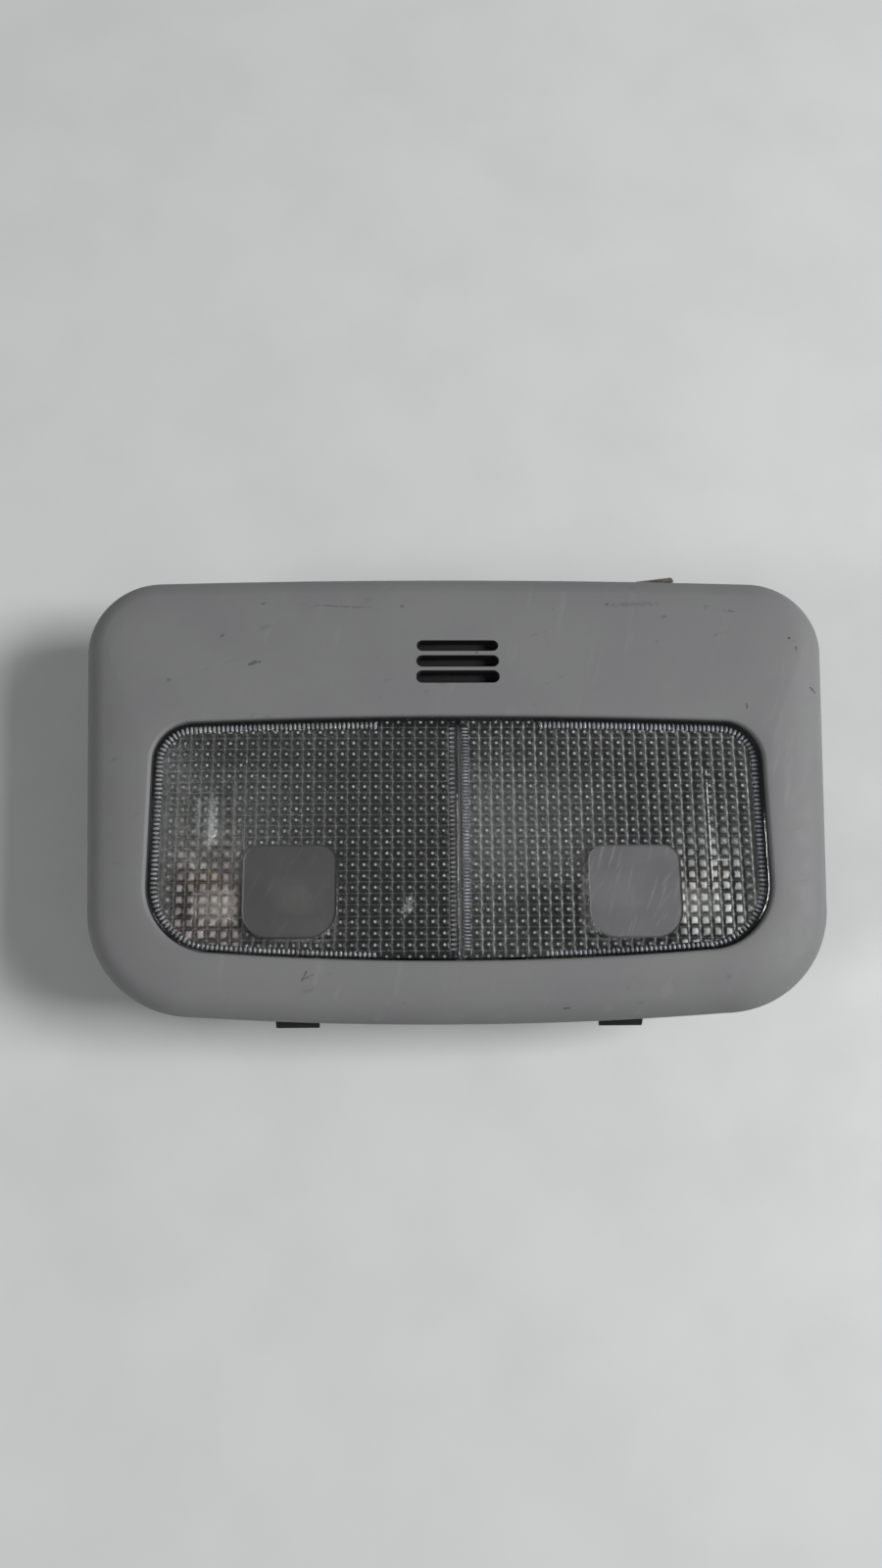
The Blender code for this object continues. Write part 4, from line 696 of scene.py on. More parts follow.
@dataclass(frozen=True)
class Outline:
    """A rounded, slightly bowed and tapered rectangle, symmetric about x = 0."""

    half_top: float
    half_bottom: float
    top: float
    bottom: float
    radius_top: float
    radius_bottom: float
    bow_top: float
    bow_bottom: float
    corner_steps: int = 20
    edge_steps: int = 14
    least_radius: float = 0.6 * MM

    def grown(self, distance: float) -> "Outline":
        """The outline moved outwards by a distance, or inwards by a negative one.

        Args:
            distance: how far.

        Returns:
            The new outline.
        """
        return replace(
            self,
            half_top=self.half_top + distance,
            half_bottom=self.half_bottom + distance,
            top=self.top + distance,
            bottom=self.bottom - distance,
            radius_top=max(self.radius_top + distance, self.least_radius),
            radius_bottom=max(self.radius_bottom + distance, self.least_radius),
        )

    def top_y(self, x: float) -> float:
        """Height of the upper edge at x, between its corners."""
        return self.top - self.bow_top * (x / (self.half_top - self.radius_top)) ** 2

    def bottom_y(self, x: float) -> float:
        """Height of the lower edge at x, between its corners."""
        return self.bottom + self.bow_bottom * (x / (self.half_bottom - self.radius_bottom)) ** 2

    def side_x(self, y: float) -> float:
        """The right-hand edge at height y, between its corners."""
        low = self.bottom_y(self.half_bottom - self.radius_bottom) + self.radius_bottom
        high = self.top_y(self.half_top - self.radius_top) - self.radius_top
        return self.half_bottom + (self.half_top - self.half_bottom) * (y - low) / (high - low)

    @cache
    def right_half(self, inner: float = 0.0) -> list[Point]:
        """Points of the part right of x = inner, anticlockwise from the lower edge.

        Args:
            inner: where the part starts.

        Returns:
            The points, in order.
        """
        flat_bottom = self.half_bottom - self.radius_bottom
        flat_top = self.half_top - self.radius_top
        shares = [step / self.edge_steps for step in range(self.edge_steps + 1)]
        low_edge = [inner + (flat_bottom - inner) * share for share in shares[:-1]]
        high_edge = [flat_top + (inner - flat_top) * share for share in shares[1:]]
        low, high = self.radius_bottom, self.radius_top
        low_y = self.bottom_y(flat_bottom) + low
        high_y = self.top_y(flat_top) - high
        turns = arc(self.corner_steps)
        return [
            *((x, self.bottom_y(x)) for x in low_edge),
            *((flat_bottom + low * sine, low_y - low * cosine) for cosine, sine in turns),
            *((flat_top + high * cosine, high_y + high * sine) for cosine, sine in turns),
            *((x, self.top_y(x)) for x in high_edge),
        ]

    def holds(self, x: float, y: float) -> bool:
        """Whether a point lies inside the outline.

        Args:
            x: the point's x, of either sign.
            y: its y.

        Returns:
            True inside.
        """
        points = self.right_half()
        crossings = 0
        for (x1, y1), (x2, y2) in zip(points, points[1:]):
            if (y1 > y) != (y2 > y) and x1 + (x2 - x1) * (y - y1) / (y2 - y1) > abs(x):
                crossings += 1
        return crossings % 2 == 1

    def ring(self, z: float) -> Ring:
        """The whole outline as points at height z."""
        right = self.right_half()
        left = [(-x, y) for x, y in reversed(right[1:-1])]
        return raised(right + left, z)


def loft(rings: Sequence[Ring], ring_loop: bool = False) -> Shape:
    """Skin a list of rings.

    Args:
        rings: loops of equal length.
        ring_loop: joins the last ring to the first, where otherwise both ends are capped.

    Returns:
        A closed mesh.
    """
    bm = bmesh.new()
    rows = [[bm.verts.new(point) for point in ring] for ring in rings]
    pairs = list(zip(rows, rows[1:]))
    if ring_loop:
        pairs.append((rows[-1], rows[0]))
    else:
        bm.faces.new(rows[0])
        bm.faces.new(rows[-1])
    for lower, upper in pairs:
        for index in range(len(lower)):
            after = (index + 1) % len(lower)
            bm.faces.new((lower[index], lower[after], upper[after], upper[index]))
    return bm


def box(low: Sequence[float], high: Sequence[float], soft: float = 0.0) -> Shape:
    """A block.

    Args:
        low: its lowest corner.
        high: its highest corner.
        soft: radius of its edges.

    Returns:
        A closed mesh.
    """
    size = Vector(high) - Vector(low)
    bm = bmesh.new()
    placing = Matrix.Translation((Vector(low) + Vector(high)) / 2) @ Matrix.Diagonal((*size, 1.0))
    bmesh.ops.create_cube(bm, size=1.0, matrix=placing)
    if soft:
        bmesh.ops.bevel(bm, geom=bm.edges, offset=soft, segments=3, profile=0.5, affect="EDGES")
    return bm


def bar(
    centre: Sequence[float],
    radius: float,
    length: float,
    steps: int = 32,
    level: bool = False,
    into: Shape | None = None,
) -> Shape:
    """A round bar.

    Args:
        centre: the middle of its first end.
        radius: its radius.
        length: its length.
        steps: the number of its sides.
        level: lays it along y, where it otherwise stands along z.
        into: a mesh to add it to.

    Returns:
        The mesh with the bar in it.
    """
    turn = Matrix.Rotation(-QUARTER, 4, "X") if level else Matrix()
    placing = Matrix.Translation(centre) @ turn @ Matrix.Translation((0, 0, length / 2))
    bm = bmesh.new() if into is None else into
    ends = {"radius1": radius, "radius2": radius}
    bmesh.ops.create_cone(bm, cap_ends=True, segments=steps, depth=length, matrix=placing, **ends)
    return bm


def round_ring(radius: float, z: float, steps: int) -> Ring:
    """A ring about the z axis."""
    turns = arc(steps, 4 * QUARTER)[:-1]
    return raised([(radius * cosine, radius * sine) for cosine, sine in turns], z)


def rounded_square(
    centre: Point, side: float, radii: Sequence[float], z: float, steps: int = 10
) -> Ring:
    """A square ring with its own radius at each corner.

    Args:
        centre: its middle.
        side: its width.
        radii: the corners' radii, anticlockwise from the upper right.
        z: its height.
        steps: edges to a corner.

    Returns:
        The ring's points.
    """
    points = []
    for corner, radius in enumerate(radii):
        half = side / 2 - radius
        middle_x = centre[0] + (half if corner in (0, 3) else -half)
        middle_y = centre[1] + (half if corner in (0, 1) else -half)
        for cosine, sine in arc(steps, start=QUARTER * corner):
            points.append((middle_x + radius * cosine, middle_y + radius * sine))
    return raised(points, z)


def flipped(bm: Shape) -> Shape:
    """The same shape on the lamp's other side."""
    bmesh.ops.scale(bm, vec=(-1, 1, 1), verts=bm.verts)
    bmesh.ops.reverse_faces(bm, faces=bm.faces)
    return bm


def linked(name: str, data: bpy.types.ID) -> Item:
    """Add an object to the scene."""
    made = bpy.data.objects.new(name, data)
    bpy.context.scene.collection.objects.link(made)
    return made


def fill(mesh: bpy.types.Mesh, bm: Shape) -> None:
    """Put a shape in a mesh and let the shape go."""
    bm.to_mesh(mesh)
    bm.free()


def new_object(name: str, bm: Shape) -> Item:
    """Make an object from a shape, with its faces outwards."""
    bmesh.ops.recalc_face_normals(bm, faces=bm.faces)
    mesh = bpy.data.meshes.new(name)
    fill(mesh, bm)
    return linked(name, mesh)


def plain_mesh(item: Item) -> None:
    """Put an object's evaluated shape in its mesh and remove its modifiers.

    Args:
        item: the object.
    """
    evaluated = item.evaluated_get(bpy.context.evaluated_depsgraph_get())
    result = bpy.data.meshes.new_from_object(evaluated)
    item.modifiers.clear()
    old = item.data
    item.data = result
    bpy.data.meshes.remove(old)


def combine(target: Item, other: Shape, join: Join) -> None:
    """Work a shape into an object.

    Args:
        target: the object.
        other: the shape.
        join: how it is worked in.
    """
    tool = new_object(target.name + "_tool", other)
    modifier = target.modifiers.new(join.name, "BOOLEAN")
    modifier.operation = join.value
    modifier.solver = "MANIFOLD"
    modifier.object = tool
    plain_mesh(target)
    bpy.data.objects.remove(tool, do_unlink=True)


def as_bmesh(mesh: bpy.types.Mesh) -> Shape:
    """A mesh's shape."""
    bm = bmesh.new()
    bm.from_mesh(mesh)
    return bm


def taken(item: Item) -> Shape:
    """The shape of an object, which is removed."""
    bm = as_bmesh(item.data)
    bpy.data.objects.remove(item, do_unlink=True)
    return bm


def mirror(item: Item) -> None:
    """Turn a right-hand piece into a left-hand one."""
    bm = flipped(as_bmesh(item.data))
    bmesh.ops.recalc_face_normals(bm, faces=bm.faces)
    fill(item.data, bm)


def smooth(item: Item, angle: float = 32.0) -> None:
    """Shade an object smooth, apart from edges that are sharper than an angle in degrees."""
    item.data.shade_smooth()
    item.data.set_sharp_from_angle(angle=math.radians(angle))


def close_up(item: Item, weld: float = 0.004 * MM) -> None:
    """Close up the very short edges that a cut can leave."""
    bm = as_bmesh(item.data)
    bmesh.ops.triangulate(bm, faces=[face for face in bm.faces if len(face.verts) > 4])
    bmesh.ops.dissolve_degenerate(bm, dist=weld, edges=bm.edges)
    fill(item.data, bm)


def settle(item: Item) -> None:
    """Move a piece from the window's middle to the frame's origin."""
    item.data.transform(Matrix.Translation((0.0, WINDOW_Y, 0.0)))


def number_faces(item: Item, count: int, choose: Callable[[bpy.types.MeshPolygon], int]) -> None:
    """Give an object's faces their material numbers.

    Args:
        item: the object.
        count: how many materials it has.
        choose: gives a face's number.
    """
    item.data.materials.clear()
    for _ in range(count):
        item.data.materials.append(None)
    for face in item.data.polygons:
        face.material_index = choose(face)


def install(item: Item, body: str, slot: str, nodes: Sequence[str], *finishes: Finish) -> None:
    """Give a finished piece its materials, hang it on its body and hide the CAD nodes that it stands for.

    Args:
        item: the piece.
        body: the CAD body that it moves with.
        slot: the record's material slot; not used.
        nodes: the CAD nodes that it stands for.
        finishes: in the order of its faces' material numbers.
    """
    while len(item.data.materials) < len(finishes):
        item.data.materials.append(None)
    for index, finish in enumerate(finishes):
        item.data.materials[index] = finish.material()
    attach(item, body)
    if nodes:
        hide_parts(*nodes)
    LOG.info("%s: %d faces on %s", item.name, len(item.data.polygons), body)


# Geometry Nodes


class Tree(Graph):
    """A geometry tree with named inputs, which is run once to give a plain mesh."""

    def __init__(self, name: str, **inputs: str) -> None:
        """Start a tree.

        Args:
            name: the tree's name.
            inputs: socket types of its inputs, by name, such as Pitch="Float".
        """
        super().__init__(bpy.data.node_groups.new(name, "GeometryNodeTree"))
        sockets = self.tree.interface
        for word, kind in {"Geometry": "Geometry", **inputs, "Material": "Material"}.items():
            sockets.new_socket(word, in_out="INPUT", socket_type="NodeSocket" + kind)
        sockets.new_socket("Geometry", in_out="OUTPUT", socket_type="NodeSocketGeometry")
        self.source = self.node("NodeGroupInput")

    def __getitem__(self, word: str) -> Value:
        """One of the tree's inputs."""
        return Value(self, self.source.outputs[word])

    def make(self, kind: str, inputs: dict, **settings: object) -> Node:
        """Add a geometry node, by the rest of its type name."""
        return self.node("GeometryNode" + kind, inputs, **settings)

    def copies(self, points: object, shape: Node, **more: object) -> Node:
        """Put copies of a shape on points."""
        return self.make("InstanceOnPoints", {"Points": points, "Instance": shape, **more})

    def close(self, geometry: Node) -> "Tree":
        """End the tree: realise the instances and set the material."""
        real = self.make("RealizeInstances", {0: geometry})
        done = self.make("SetMaterial", {"Geometry": real, "Material": self["Material"]})
        self.node("NodeGroupOutput", {0: done})
        return self

    def run(self, name: str, source: Shape | None, **values: object) -> Item:
        """Run the tree on a source shape.

        Args:
            name: the new object's name.
            source: what goes into the tree's geometry input.
            values: the tree's other inputs, by name.

        Returns:
            An object with a plain mesh.
        """
        item = new_object(name, bmesh.new() if source is None else source)
        modifier = item.modifiers.new(name, "NODES")
        modifier.node_group = self.tree
        for socket in self.tree.interface.items_tree:
            if socket.in_out == "INPUT" and socket.name in values:
                modifier[socket.identifier] = values[socket.name]
        plain_mesh(item)
        return item


@cache
def row_tree() -> Tree:
    """Repeats the source along a straight line."""
    tree = Tree("row", Count="Int", Start="Vector", Offset="Vector")
    places = {"Count": tree["Count"], "Start Location": tree["Start"], "Offset": tree["Offset"]}
    line = tree.make("MeshLine", places, mode="OFFSET", count_mode="TOTAL")
    return tree.close(tree.copies(line, tree.source))


@cache
def corners_tree() -> Tree:
    """Puts the source at the four corners of a rectangle.

    Returns:
        The closed tree.
    """
    tree = Tree("corners", Width="Float", Height="Float", Centre="Vector")
    sides = {"Size X": tree["Width"], "Size Y": tree["Height"], "Vertices X": 2, "Vertices Y": 2}
    grid = tree.make("MeshGrid", sides)
    corners = tree.make("Transform", {0: grid, "Translation": tree["Centre"]})
    return tree.close(tree.copies(corners, tree.source))


@cache
def flute_tree() -> Tree:
    """Lays long beads across a path, at an even pitch.

    Returns:
        The closed tree.
    """
    tree = Tree("flutes", Pitch="Float", Size="Vector")
    path = tree.make("MeshToCurve", {0: tree.source})
    dots = tree.make("CurveToPoints", {"Curve": path, "Length": tree["Pitch"]}, mode="LENGTH")
    ahead = {"Vector": dots.outputs["Tangent"]}
    turn = tree.node("FunctionNodeAlignRotationToVector", ahead, axis="Y", pivot_axis="Z")
    bead = tree.make("MeshUVSphere", {"Segments": 12, "Rings": 8, "Radius": 1.0})
    return tree.close(tree.copies(dots.outputs["Points"], bead, Rotation=turn, Scale=tree["Size"]))


@cache
def dimple_tree() -> Tree:
    """A field of square dimples, flat where the finger pad is.

    Returns:
        The closed tree.
    """
    tree = Tree(
        "dimples", Pitch="Float", Depth="Float", Columns="Int", Rows="Int", Steps="Int",
        Corner="Vector", Pad="Vector", PadHalf="Float", UpperRadius="Float", LowerRadius="Float",
    )
    pitch = tree["Pitch"]
    width, height = tree["Columns"] * pitch, tree["Rows"] * pitch
    grid = tree.make("MeshGrid", {
        "Size X": width,
        "Size Y": height,
        "Vertices X": tree["Columns"] * tree["Steps"] + 1.0,
        "Vertices Y": tree["Rows"] * tree["Steps"] + 1.0,
    })
    corner_x, corner_y, corner_z = tree.axes(tree["Corner"])
    place = tree.vector(corner_x + width * 0.5, corner_y - height * 0.5, corner_z)
    moved = tree.make("Transform", {0: grid, "Translation": place})
    x, y, _ = tree.axes(tree.make("InputPosition", {}))
    pad_x, pad_y, _ = tree.axes(tree["Pad"])
    upper, lower = tree["UpperRadius"], tree["LowerRadius"]
    radius = upper + (lower - upper) * (pad_y - y).over(0.0)
    reach = tree["PadHalf"] - radius
    out_x = (abs(x - pad_x) - reach).most(0.0)
    out_y = (abs(y - pad_y) - reach).most(0.0)
    open_field = ((out_x * out_x + out_y * out_y) ** 0.5).over(radius - pitch * 0.02)

    def swell(share: Value) -> Value:
        """A rise from 0 at a cell's borders to 1 at its middle."""
        middle = share.fraction() * 2.0 - 1.0
        return 1.0 - middle * middle

    # The small shift keeps the cell borders on one side of the fraction's jump.
    nudge = 0.0001
    rise = swell((x - corner_x) / pitch + nudge) * swell((corner_y - y) / pitch + nudge)
    lift = tree.vector(0.0, 0.0, rise * tree["Depth"] * open_field)
    return tree.close(tree.make("SetPosition", {0: moved, "Offset": lift}))


@cache
def wire_tree() -> Tree:
    """A coiled wire: a helix with a round section.

    Returns:
        The closed tree.
    """
    tree = Tree("coiled wire", Radius="Float", Wire="Float", Length="Float", Turns="Float")
    helix = tree.make("CurveSpiral", {
        "Resolution": 14,
        "Rotations": tree["Turns"],
        "Start Radius": tree["Radius"],
        "End Radius": tree["Radius"],
        "Height": tree["Length"],
    })
    circle = {"Resolution": 8, "Radius": tree["Wire"]}
    section = tree.make("CurvePrimitiveCircle", circle, mode="RADIUS")
    return tree.close(tree.make("CurveToMesh", {0: helix, 1: section, "Fill Caps": True}))


# Finishes of this lamp

BEZEL_MARKS = (
    Mark(-46.0, 40.7, 3.4, 0.7, 18.0, 0.8),
    Mark(-53.6, 47.3, 1.0, 0.7, 40.0, 0.6),
    Mark(-44.6, 55.3, 1.5, 0.6, -10.0, 0.55),
    Mark(-26.0, 54.6, 17.0, 0.45, -3.0, 0.4),
    Mark(41.2, 55.2, 10.0, 1.2, 3.0, 0.3),
    Mark(34.7, 55.2, 0.9, 0.8, 0.0, 0.6),
    Mark(63.2, 53.5, 2.6, 0.6, -12.0, 0.6),
    Mark(57.6, 54.4, 1.0, 0.8, 60.0, 0.45),
    Mark(47.7, 52.0, 1.4, 0.8, 15.0, 0.45),
    Mark(76.6, 46.7, 0.9, 0.8, 20.0, 1.0),
    Mark(78.0, 44.3, 0.9, 0.7, 70.0, 1.0),
    Mark(81.5, 34.5, 2.4, 0.6, -42.0, 1.0),
    Mark(65.3, 30.2, 0.8, 1.0, 0.0, 0.9),
    Mark(-33.6, -29.6, 2.6, 0.4, 62.0, 0.75),
    Mark(-32.6, -29.6, 2.2, 0.35, 25.0, 0.6),
    Mark(22.5, -36.4, 1.6, 0.5, 8.0, 0.8),
)
LEFT_LENS_MARKS = (Mark(-11.6, -14.8, 4.6, 2.1, 65.0, 0.17),)
# Painted highlights on the right lens: a long line along y for the bulb glass's highlight, and a short glint
# beside it.
RIGHT_LENS_PAINTED_HIGHLIGHTS = (
    Mark(55.1, 0.1, 29.0, 0.27, -90.0, 0.75),
    Mark(57.2, -4.8, 3.6, 0.24, 0.0, 0.6),
)

GREY = Moulding(
    "grey moulding", (0.165, 0.164, 0.171), (0.174, 0.177, 0.174), 0.6, 0.3, wear=0.55,
    marks=BEZEL_MARKS,
)
HOUSING_GREY = Moulding("housing moulding", (0.085, 0.085, 0.084), (0.105, 0.105, 0.104), wear=0.3)
BLACK = Moulding("black moulding", (0.009, 0.009, 0.01), (0.014, 0.014, 0.014), 0.55, 0.2, wear=0.2)
SWITCH_GREY = Moulding("switch moulding", (0.3, 0.3, 0.29), (0.36, 0.36, 0.35))
IVORY = Moulding("ivory moulding", (0.84, 0.79, 0.73), (0.88, 0.84, 0.77), 0.35)
RUBBER = Moulding("soft rubber", (0.02, 0.02, 0.02), (0.03, 0.03, 0.03), 0.8, grain=2600.0)
BRASS = Metal("brass strip", (0.66, 0.47, 0.2), (0.4, 0.25, 0.1), 0.28)
BRIGHT = Metal("bright steel", (0.62, 0.62, 0.61), (0.42, 0.41, 0.39), 0.27)
BRONZE = Metal("bronze steel", (0.1, 0.088, 0.075), (0.05, 0.043, 0.038), 0.4)
SHEET = Metal("reflector sheet", (0.42, 0.42, 0.41), (0.34, 0.34, 0.33), 0.55, 0.35)
TUNGSTEN = Metal("filament wire", (0.42, 0.41, 0.4), (0.25, 0.24, 0.23), 0.4)
GAUZE = Gauze("dark gauze", (0.006, 0.006, 0.0065), 0.35 * MM)
LEFT_SKIN = ClearSkin("left lens skin", marks=LEFT_LENS_MARKS)
RIGHT_SKIN = ClearSkin("right lens skin", marks=RIGHT_LENS_PAINTED_HIGHLIGHTS)
# Painted shade: near black, half opaque sides of the lenses darken the gap round each lens and beside the
# other lens.
PAINTED_SHADE_SKIN = ClearSkin("dark lens side", gloss=0.9, haze=0.7, tint=0.04)
BULB_SKIN = ClearSkin("bulb glass", gloss=0.2, haze=0.05, roughness=0.3)
TABLE = TableTop("pale table", (0.585, 0.6, 0.592), (0.55, 0.562, 0.556))


# Sub-assemblies

WINDOW = Outline(
    half_top=68.2 * MM, half_bottom=68.2 * MM, top=28.1 * MM, bottom=-26.3 * MM,
    radius_top=9.0 * MM, radius_bottom=15.0 * MM, bow_top=1.2 * MM, bow_bottom=2.0 * MM,
)
RIM = Outline(
    half_top=85.8 * MM, half_bottom=82.4 * MM, top=63.7 * MM, bottom=-39.55 * MM,
    radius_top=17.0 * MM, radius_bottom=24.0 * MM, bow_top=1.0 * MM, bow_bottom=2.0 * MM,
)


@dataclass
class Bezel:
    """The grey front moulding."""

    rim_z: float = 27.0 * MM
    rim_wall: float = 1.2 * MM
    wall: float = 2.2 * MM
    edge: float = 8.0 * MM
    sweep: float = math.radians(72.0)
    crown: float = 1.5 * MM
    lip: float = 0.8 * MM
    flange_depth: float = 7.0 * MM
    edge_rings: int = 14
    face_rings: int = 7
    lip_rings: int = 5
    slot_length: float = 18.3 * MM
    slot_width: float = 2.3 * MM
    slot_pitch: float = 3.75 * MM
    slot_y: float = 41.1 * MM
    slot_chamfer: float = 0.3 * MM
    chamfer_foot: float = 0.75 * MM
    chamfer_top: float = 0.2 * MM
    slot_past: float = 0.5 * MM
    slot_count: int = 3
    slot_steep: float = 0.8
    half_turn_steps: int = 12
    pin_half: float = 1.5 * MM
    pin_drop: float = 4.3 * MM
    pin_start: float = 0.8 * MM
    boss_radius: float = 3.0 * MM
    boss_low: float = 24.3 * MM
    boss_cover: float = 0.4 * MM
    pilot: float = 1.5 * MM
    pilot_depth: float = 7.6 * MM
    pilot_steps: int = 20
    tower_x: float = 49.0 * MM
    tower_y: float = 56.5 * MM
    tower_size: Point = (8.4 * MM, 1.8 * MM)
    tower_low: float = 16.0 * MM
    arm_x: float = 12.3 * MM
    arm_wall: float = 1.5 * MM
    arm_length: float = 10.0 * MM
    arm_hook: float = 1.2 * MM
    hook_z: float = 27.0 * MM

    @property
    def edge_z(self) -> float:
        """Where the rounded edge starts."""
        return self.rim_z + self.rim_wall

    @property
    def face_z(self) -> float:
        """The highest part of the face, at the window."""
        return self.edge_z + self.edge * math.sin(self.sweep) + self.crown

    @property
    def flange_z(self) -> float:
        """The lower end of the flange round the window."""
        return self.face_z - self.flange_depth

    def crowned(self, outer: Ring, inner: Ring) -> list[Ring]:
        """Rings from an outer to an inner ring, on a crown that flattens towards the inner one.

        Args:
            outer: the ring to start after.
            inner: the last ring.

        Returns:
            The rings.
        """
        rings = []
        for step in range(1, self.face_rings + 1):
            share = step / self.face_rings
            rise = 1 - (1 - share) ** 2
            ring = [start.lerp(end, share) for start, end in zip(outer, inner)]
            for point, start, end in zip(ring, outer, inner):
                point.z = start.z + (end.z - start.z) * rise
            rings.append(ring)
        return rings

    def rounded(self, radius: float) -> list[Ring]:
        """Rings of the rounded edge, from the rim to the shoulder, with a radius of bend."""
        turns = arc(self.edge_rings, self.sweep)
        rims = [RIM.grown(radius * cosine - self.edge) for cosine, _ in turns]
        return [rim.ring(self.edge_z + radius * sine) for rim, (_, sine) in zip(rims, turns)]

    def skin_z(self, inset: float) -> float:
        """Height of the outer skin at a distance in from the edge, as far as the shoulder."""
        if inset >= self.edge * (1 - math.cos(self.sweep)):
            return self.face_z - self.crown
        return self.edge_z + self.edge * math.sin(math.acos(1 - inset / self.edge))

    def shell(self) -> Shape:
        """The bezel's shell, without its cuts and bosses.

        Returns:
            A closed shape.
        """
        outer = self.rounded(self.edge)
        inner = self.rounded(self.edge - self.wall)
        flange = WINDOW.grown(FLANGE)
        rings = [RIM.ring(self.rim_z), *outer]
        rings.extend(self.crowned(outer[-1], WINDOW.grown(self.lip).ring(self.face_z)))
        for cosine, sine in arc(self.lip_rings)[1:]:
            z = self.face_z - self.lip * (1 - cosine)
            rings.append(WINDOW.grown(self.lip * (1 - sine)).ring(z))
        rings.append(WINDOW.ring(self.flange_z))
        rings.append(flange.ring(self.flange_z))
        rings.extend(reversed(self.crowned(inner[-1], flange.ring(self.face_z - self.wall))))
        rings.extend(reversed(inner))
        rings.append(RIM.grown(-self.wall).ring(self.rim_z))
        return loft(rings, ring_loop=True)

    def slot_cutter(self) -> Shape:
        """A stadium with a flared top, for one slot at y = 0.

        Returns:
            The cutter.
        """
        levels = (
            (0.0, self.flange_z),
            (0.0, self.face_z - self.chamfer_foot),
            (self.slot_chamfer, self.face_z - self.chamfer_top),
            (3 * self.slot_chamfer, self.face_z + self.slot_past),
        )
        half = self.slot_length / 2 - self.slot_width / 2
        rings = []
        for wider, z in levels:
            radius = self.slot_width / 2 + wider
            points = []
            for end in (1, -1):
                for cosine, sine in arc(self.half_turn_steps, math.pi, -QUARTER * end):
                    points.append((end * half + radius * cosine, radius * sine))
            rings.append(raised(points, z))
        return loft(rings)

    def pin_cutter(self, side: Side, upper: bool) -> Shape:
        """The slot in the window flange for one lens pin.

        Args:
            side: the pin's lens.
            upper: whether it is the lens's upper pin.

        Returns:
            The cutter.
        """
        edge = WINDOW.top_y(PIN_X) if upper else WINDOW.bottom_y(PIN_X)
        out = 1 if upper else -1
        x = side.value * PIN_X
        pin_z = self.face_z - self.pin_drop
        low = self.flange_z - MM
        points = [(x + self.pin_half, low)]
        for cosine, sine in arc(self.half_turn_steps, math.pi):
            points.append((x + self.pin_half * cosine, pin_z + self.pin_half * sine))
        points.append((x - self.pin_half, low))
        ends = (edge - out * self.pin_start, edge + out * (FLANGE + OVERLAP))
        return loft([[Vector((across, y, z)) for across, z in points] for y in ends])

    def snap_arm(self, side: Side) -> Shape:
        """An arm that holds one end of the microphone holder.

        Args:
            side: the holder's end.

        Returns:
            A closed shape.
        """
        top = self.face_z - self.wall
        inner, outer = self.arm_x, self.arm_x + self.arm_wall
        foot_z = self.hook_z - self.arm_hook
        points = ((inner, top), (inner, self.hook_z), (inner - self.arm_hook, self.hook_z),
                  (inner, foot_z), (outer, foot_z), (outer, top))
        ends = (self.slot_y - self.arm_length / 2, self.slot_y + self.arm_length / 2)
        return loft([[Vector((side.value * x, y, z)) for x, z in points] for y in ends])

    def tower(self, side: Side) -> Shape:
        """The block behind one spring clip."""
        x, y = side.value * self.tower_x, self.tower_y
        half_x, half_y = self.tower_size[0] / 2, self.tower_size[1] / 2
        top = self.face_z - self.crown - self.wall + OVERLAP
        return box((x - half_x, y - half_y, self.tower_low), (x + half_x, y + half_y, top))

    def slot_number(self, face: bpy.types.MeshPolygon) -> int:
        """Material number 1, the black finish, for the slots' inner walls as painted shade; 0 for the rest.
        """
        near = abs(face.center.x) < self.slot_length / 2 + self.slot_chamfer
        near = near and abs(face.center.y - self.slot_y) < self.slot_pitch * self.slot_count / 2
        return 1 if near and abs(face.normal.z) < self.slot_steep else 0

    def build(self) -> None:
        """Make the bezel and install it."""
        item = new_object("bezel_moulding", self.shell())
        for side in Side:
            for y in SCREW_ROWS:
                x = side.value * SCREW_X
                top = self.skin_z(RIM.side_x(y) - SCREW_X - self.boss_radius) - self.boss_cover
                boss = bar((x, y, self.boss_low), self.boss_radius, top - self.boss_low)
                combine(item, boss, Join.ADD)
                foot = (x, y, self.boss_low - OVERLAP)
                hole = bar(foot, self.pilot, self.pilot_depth, self.pilot_steps)
                combine(item, hole, Join.CUT)
            combine(item, self.tower(side), Join.ADD)
            combine(item, self.snap_arm(side), Join.ADD)
            for upper in (True, False):
                combine(item, self.pin_cutter(side, upper), Join.CUT)
        slots = row_tree().run(
            "slot_cutters", self.slot_cutter(), Count=self.slot_count,
            Start=(0.0, self.slot_y - self.slot_pitch * (self.slot_count - 1) / 2, 0.0),
            Offset=(0.0, self.slot_pitch, 0.0),
        )
        combine(item, taken(slots), Join.CUT)
        close_up(item)
        smooth(item)
        # The slots' inner walls get black as painted shade.
        number_faces(item, 2, self.slot_number)
        settle(item)
        install(item, "lamp", "grey_moulding", ["front_bezel"], GREY, BLACK)


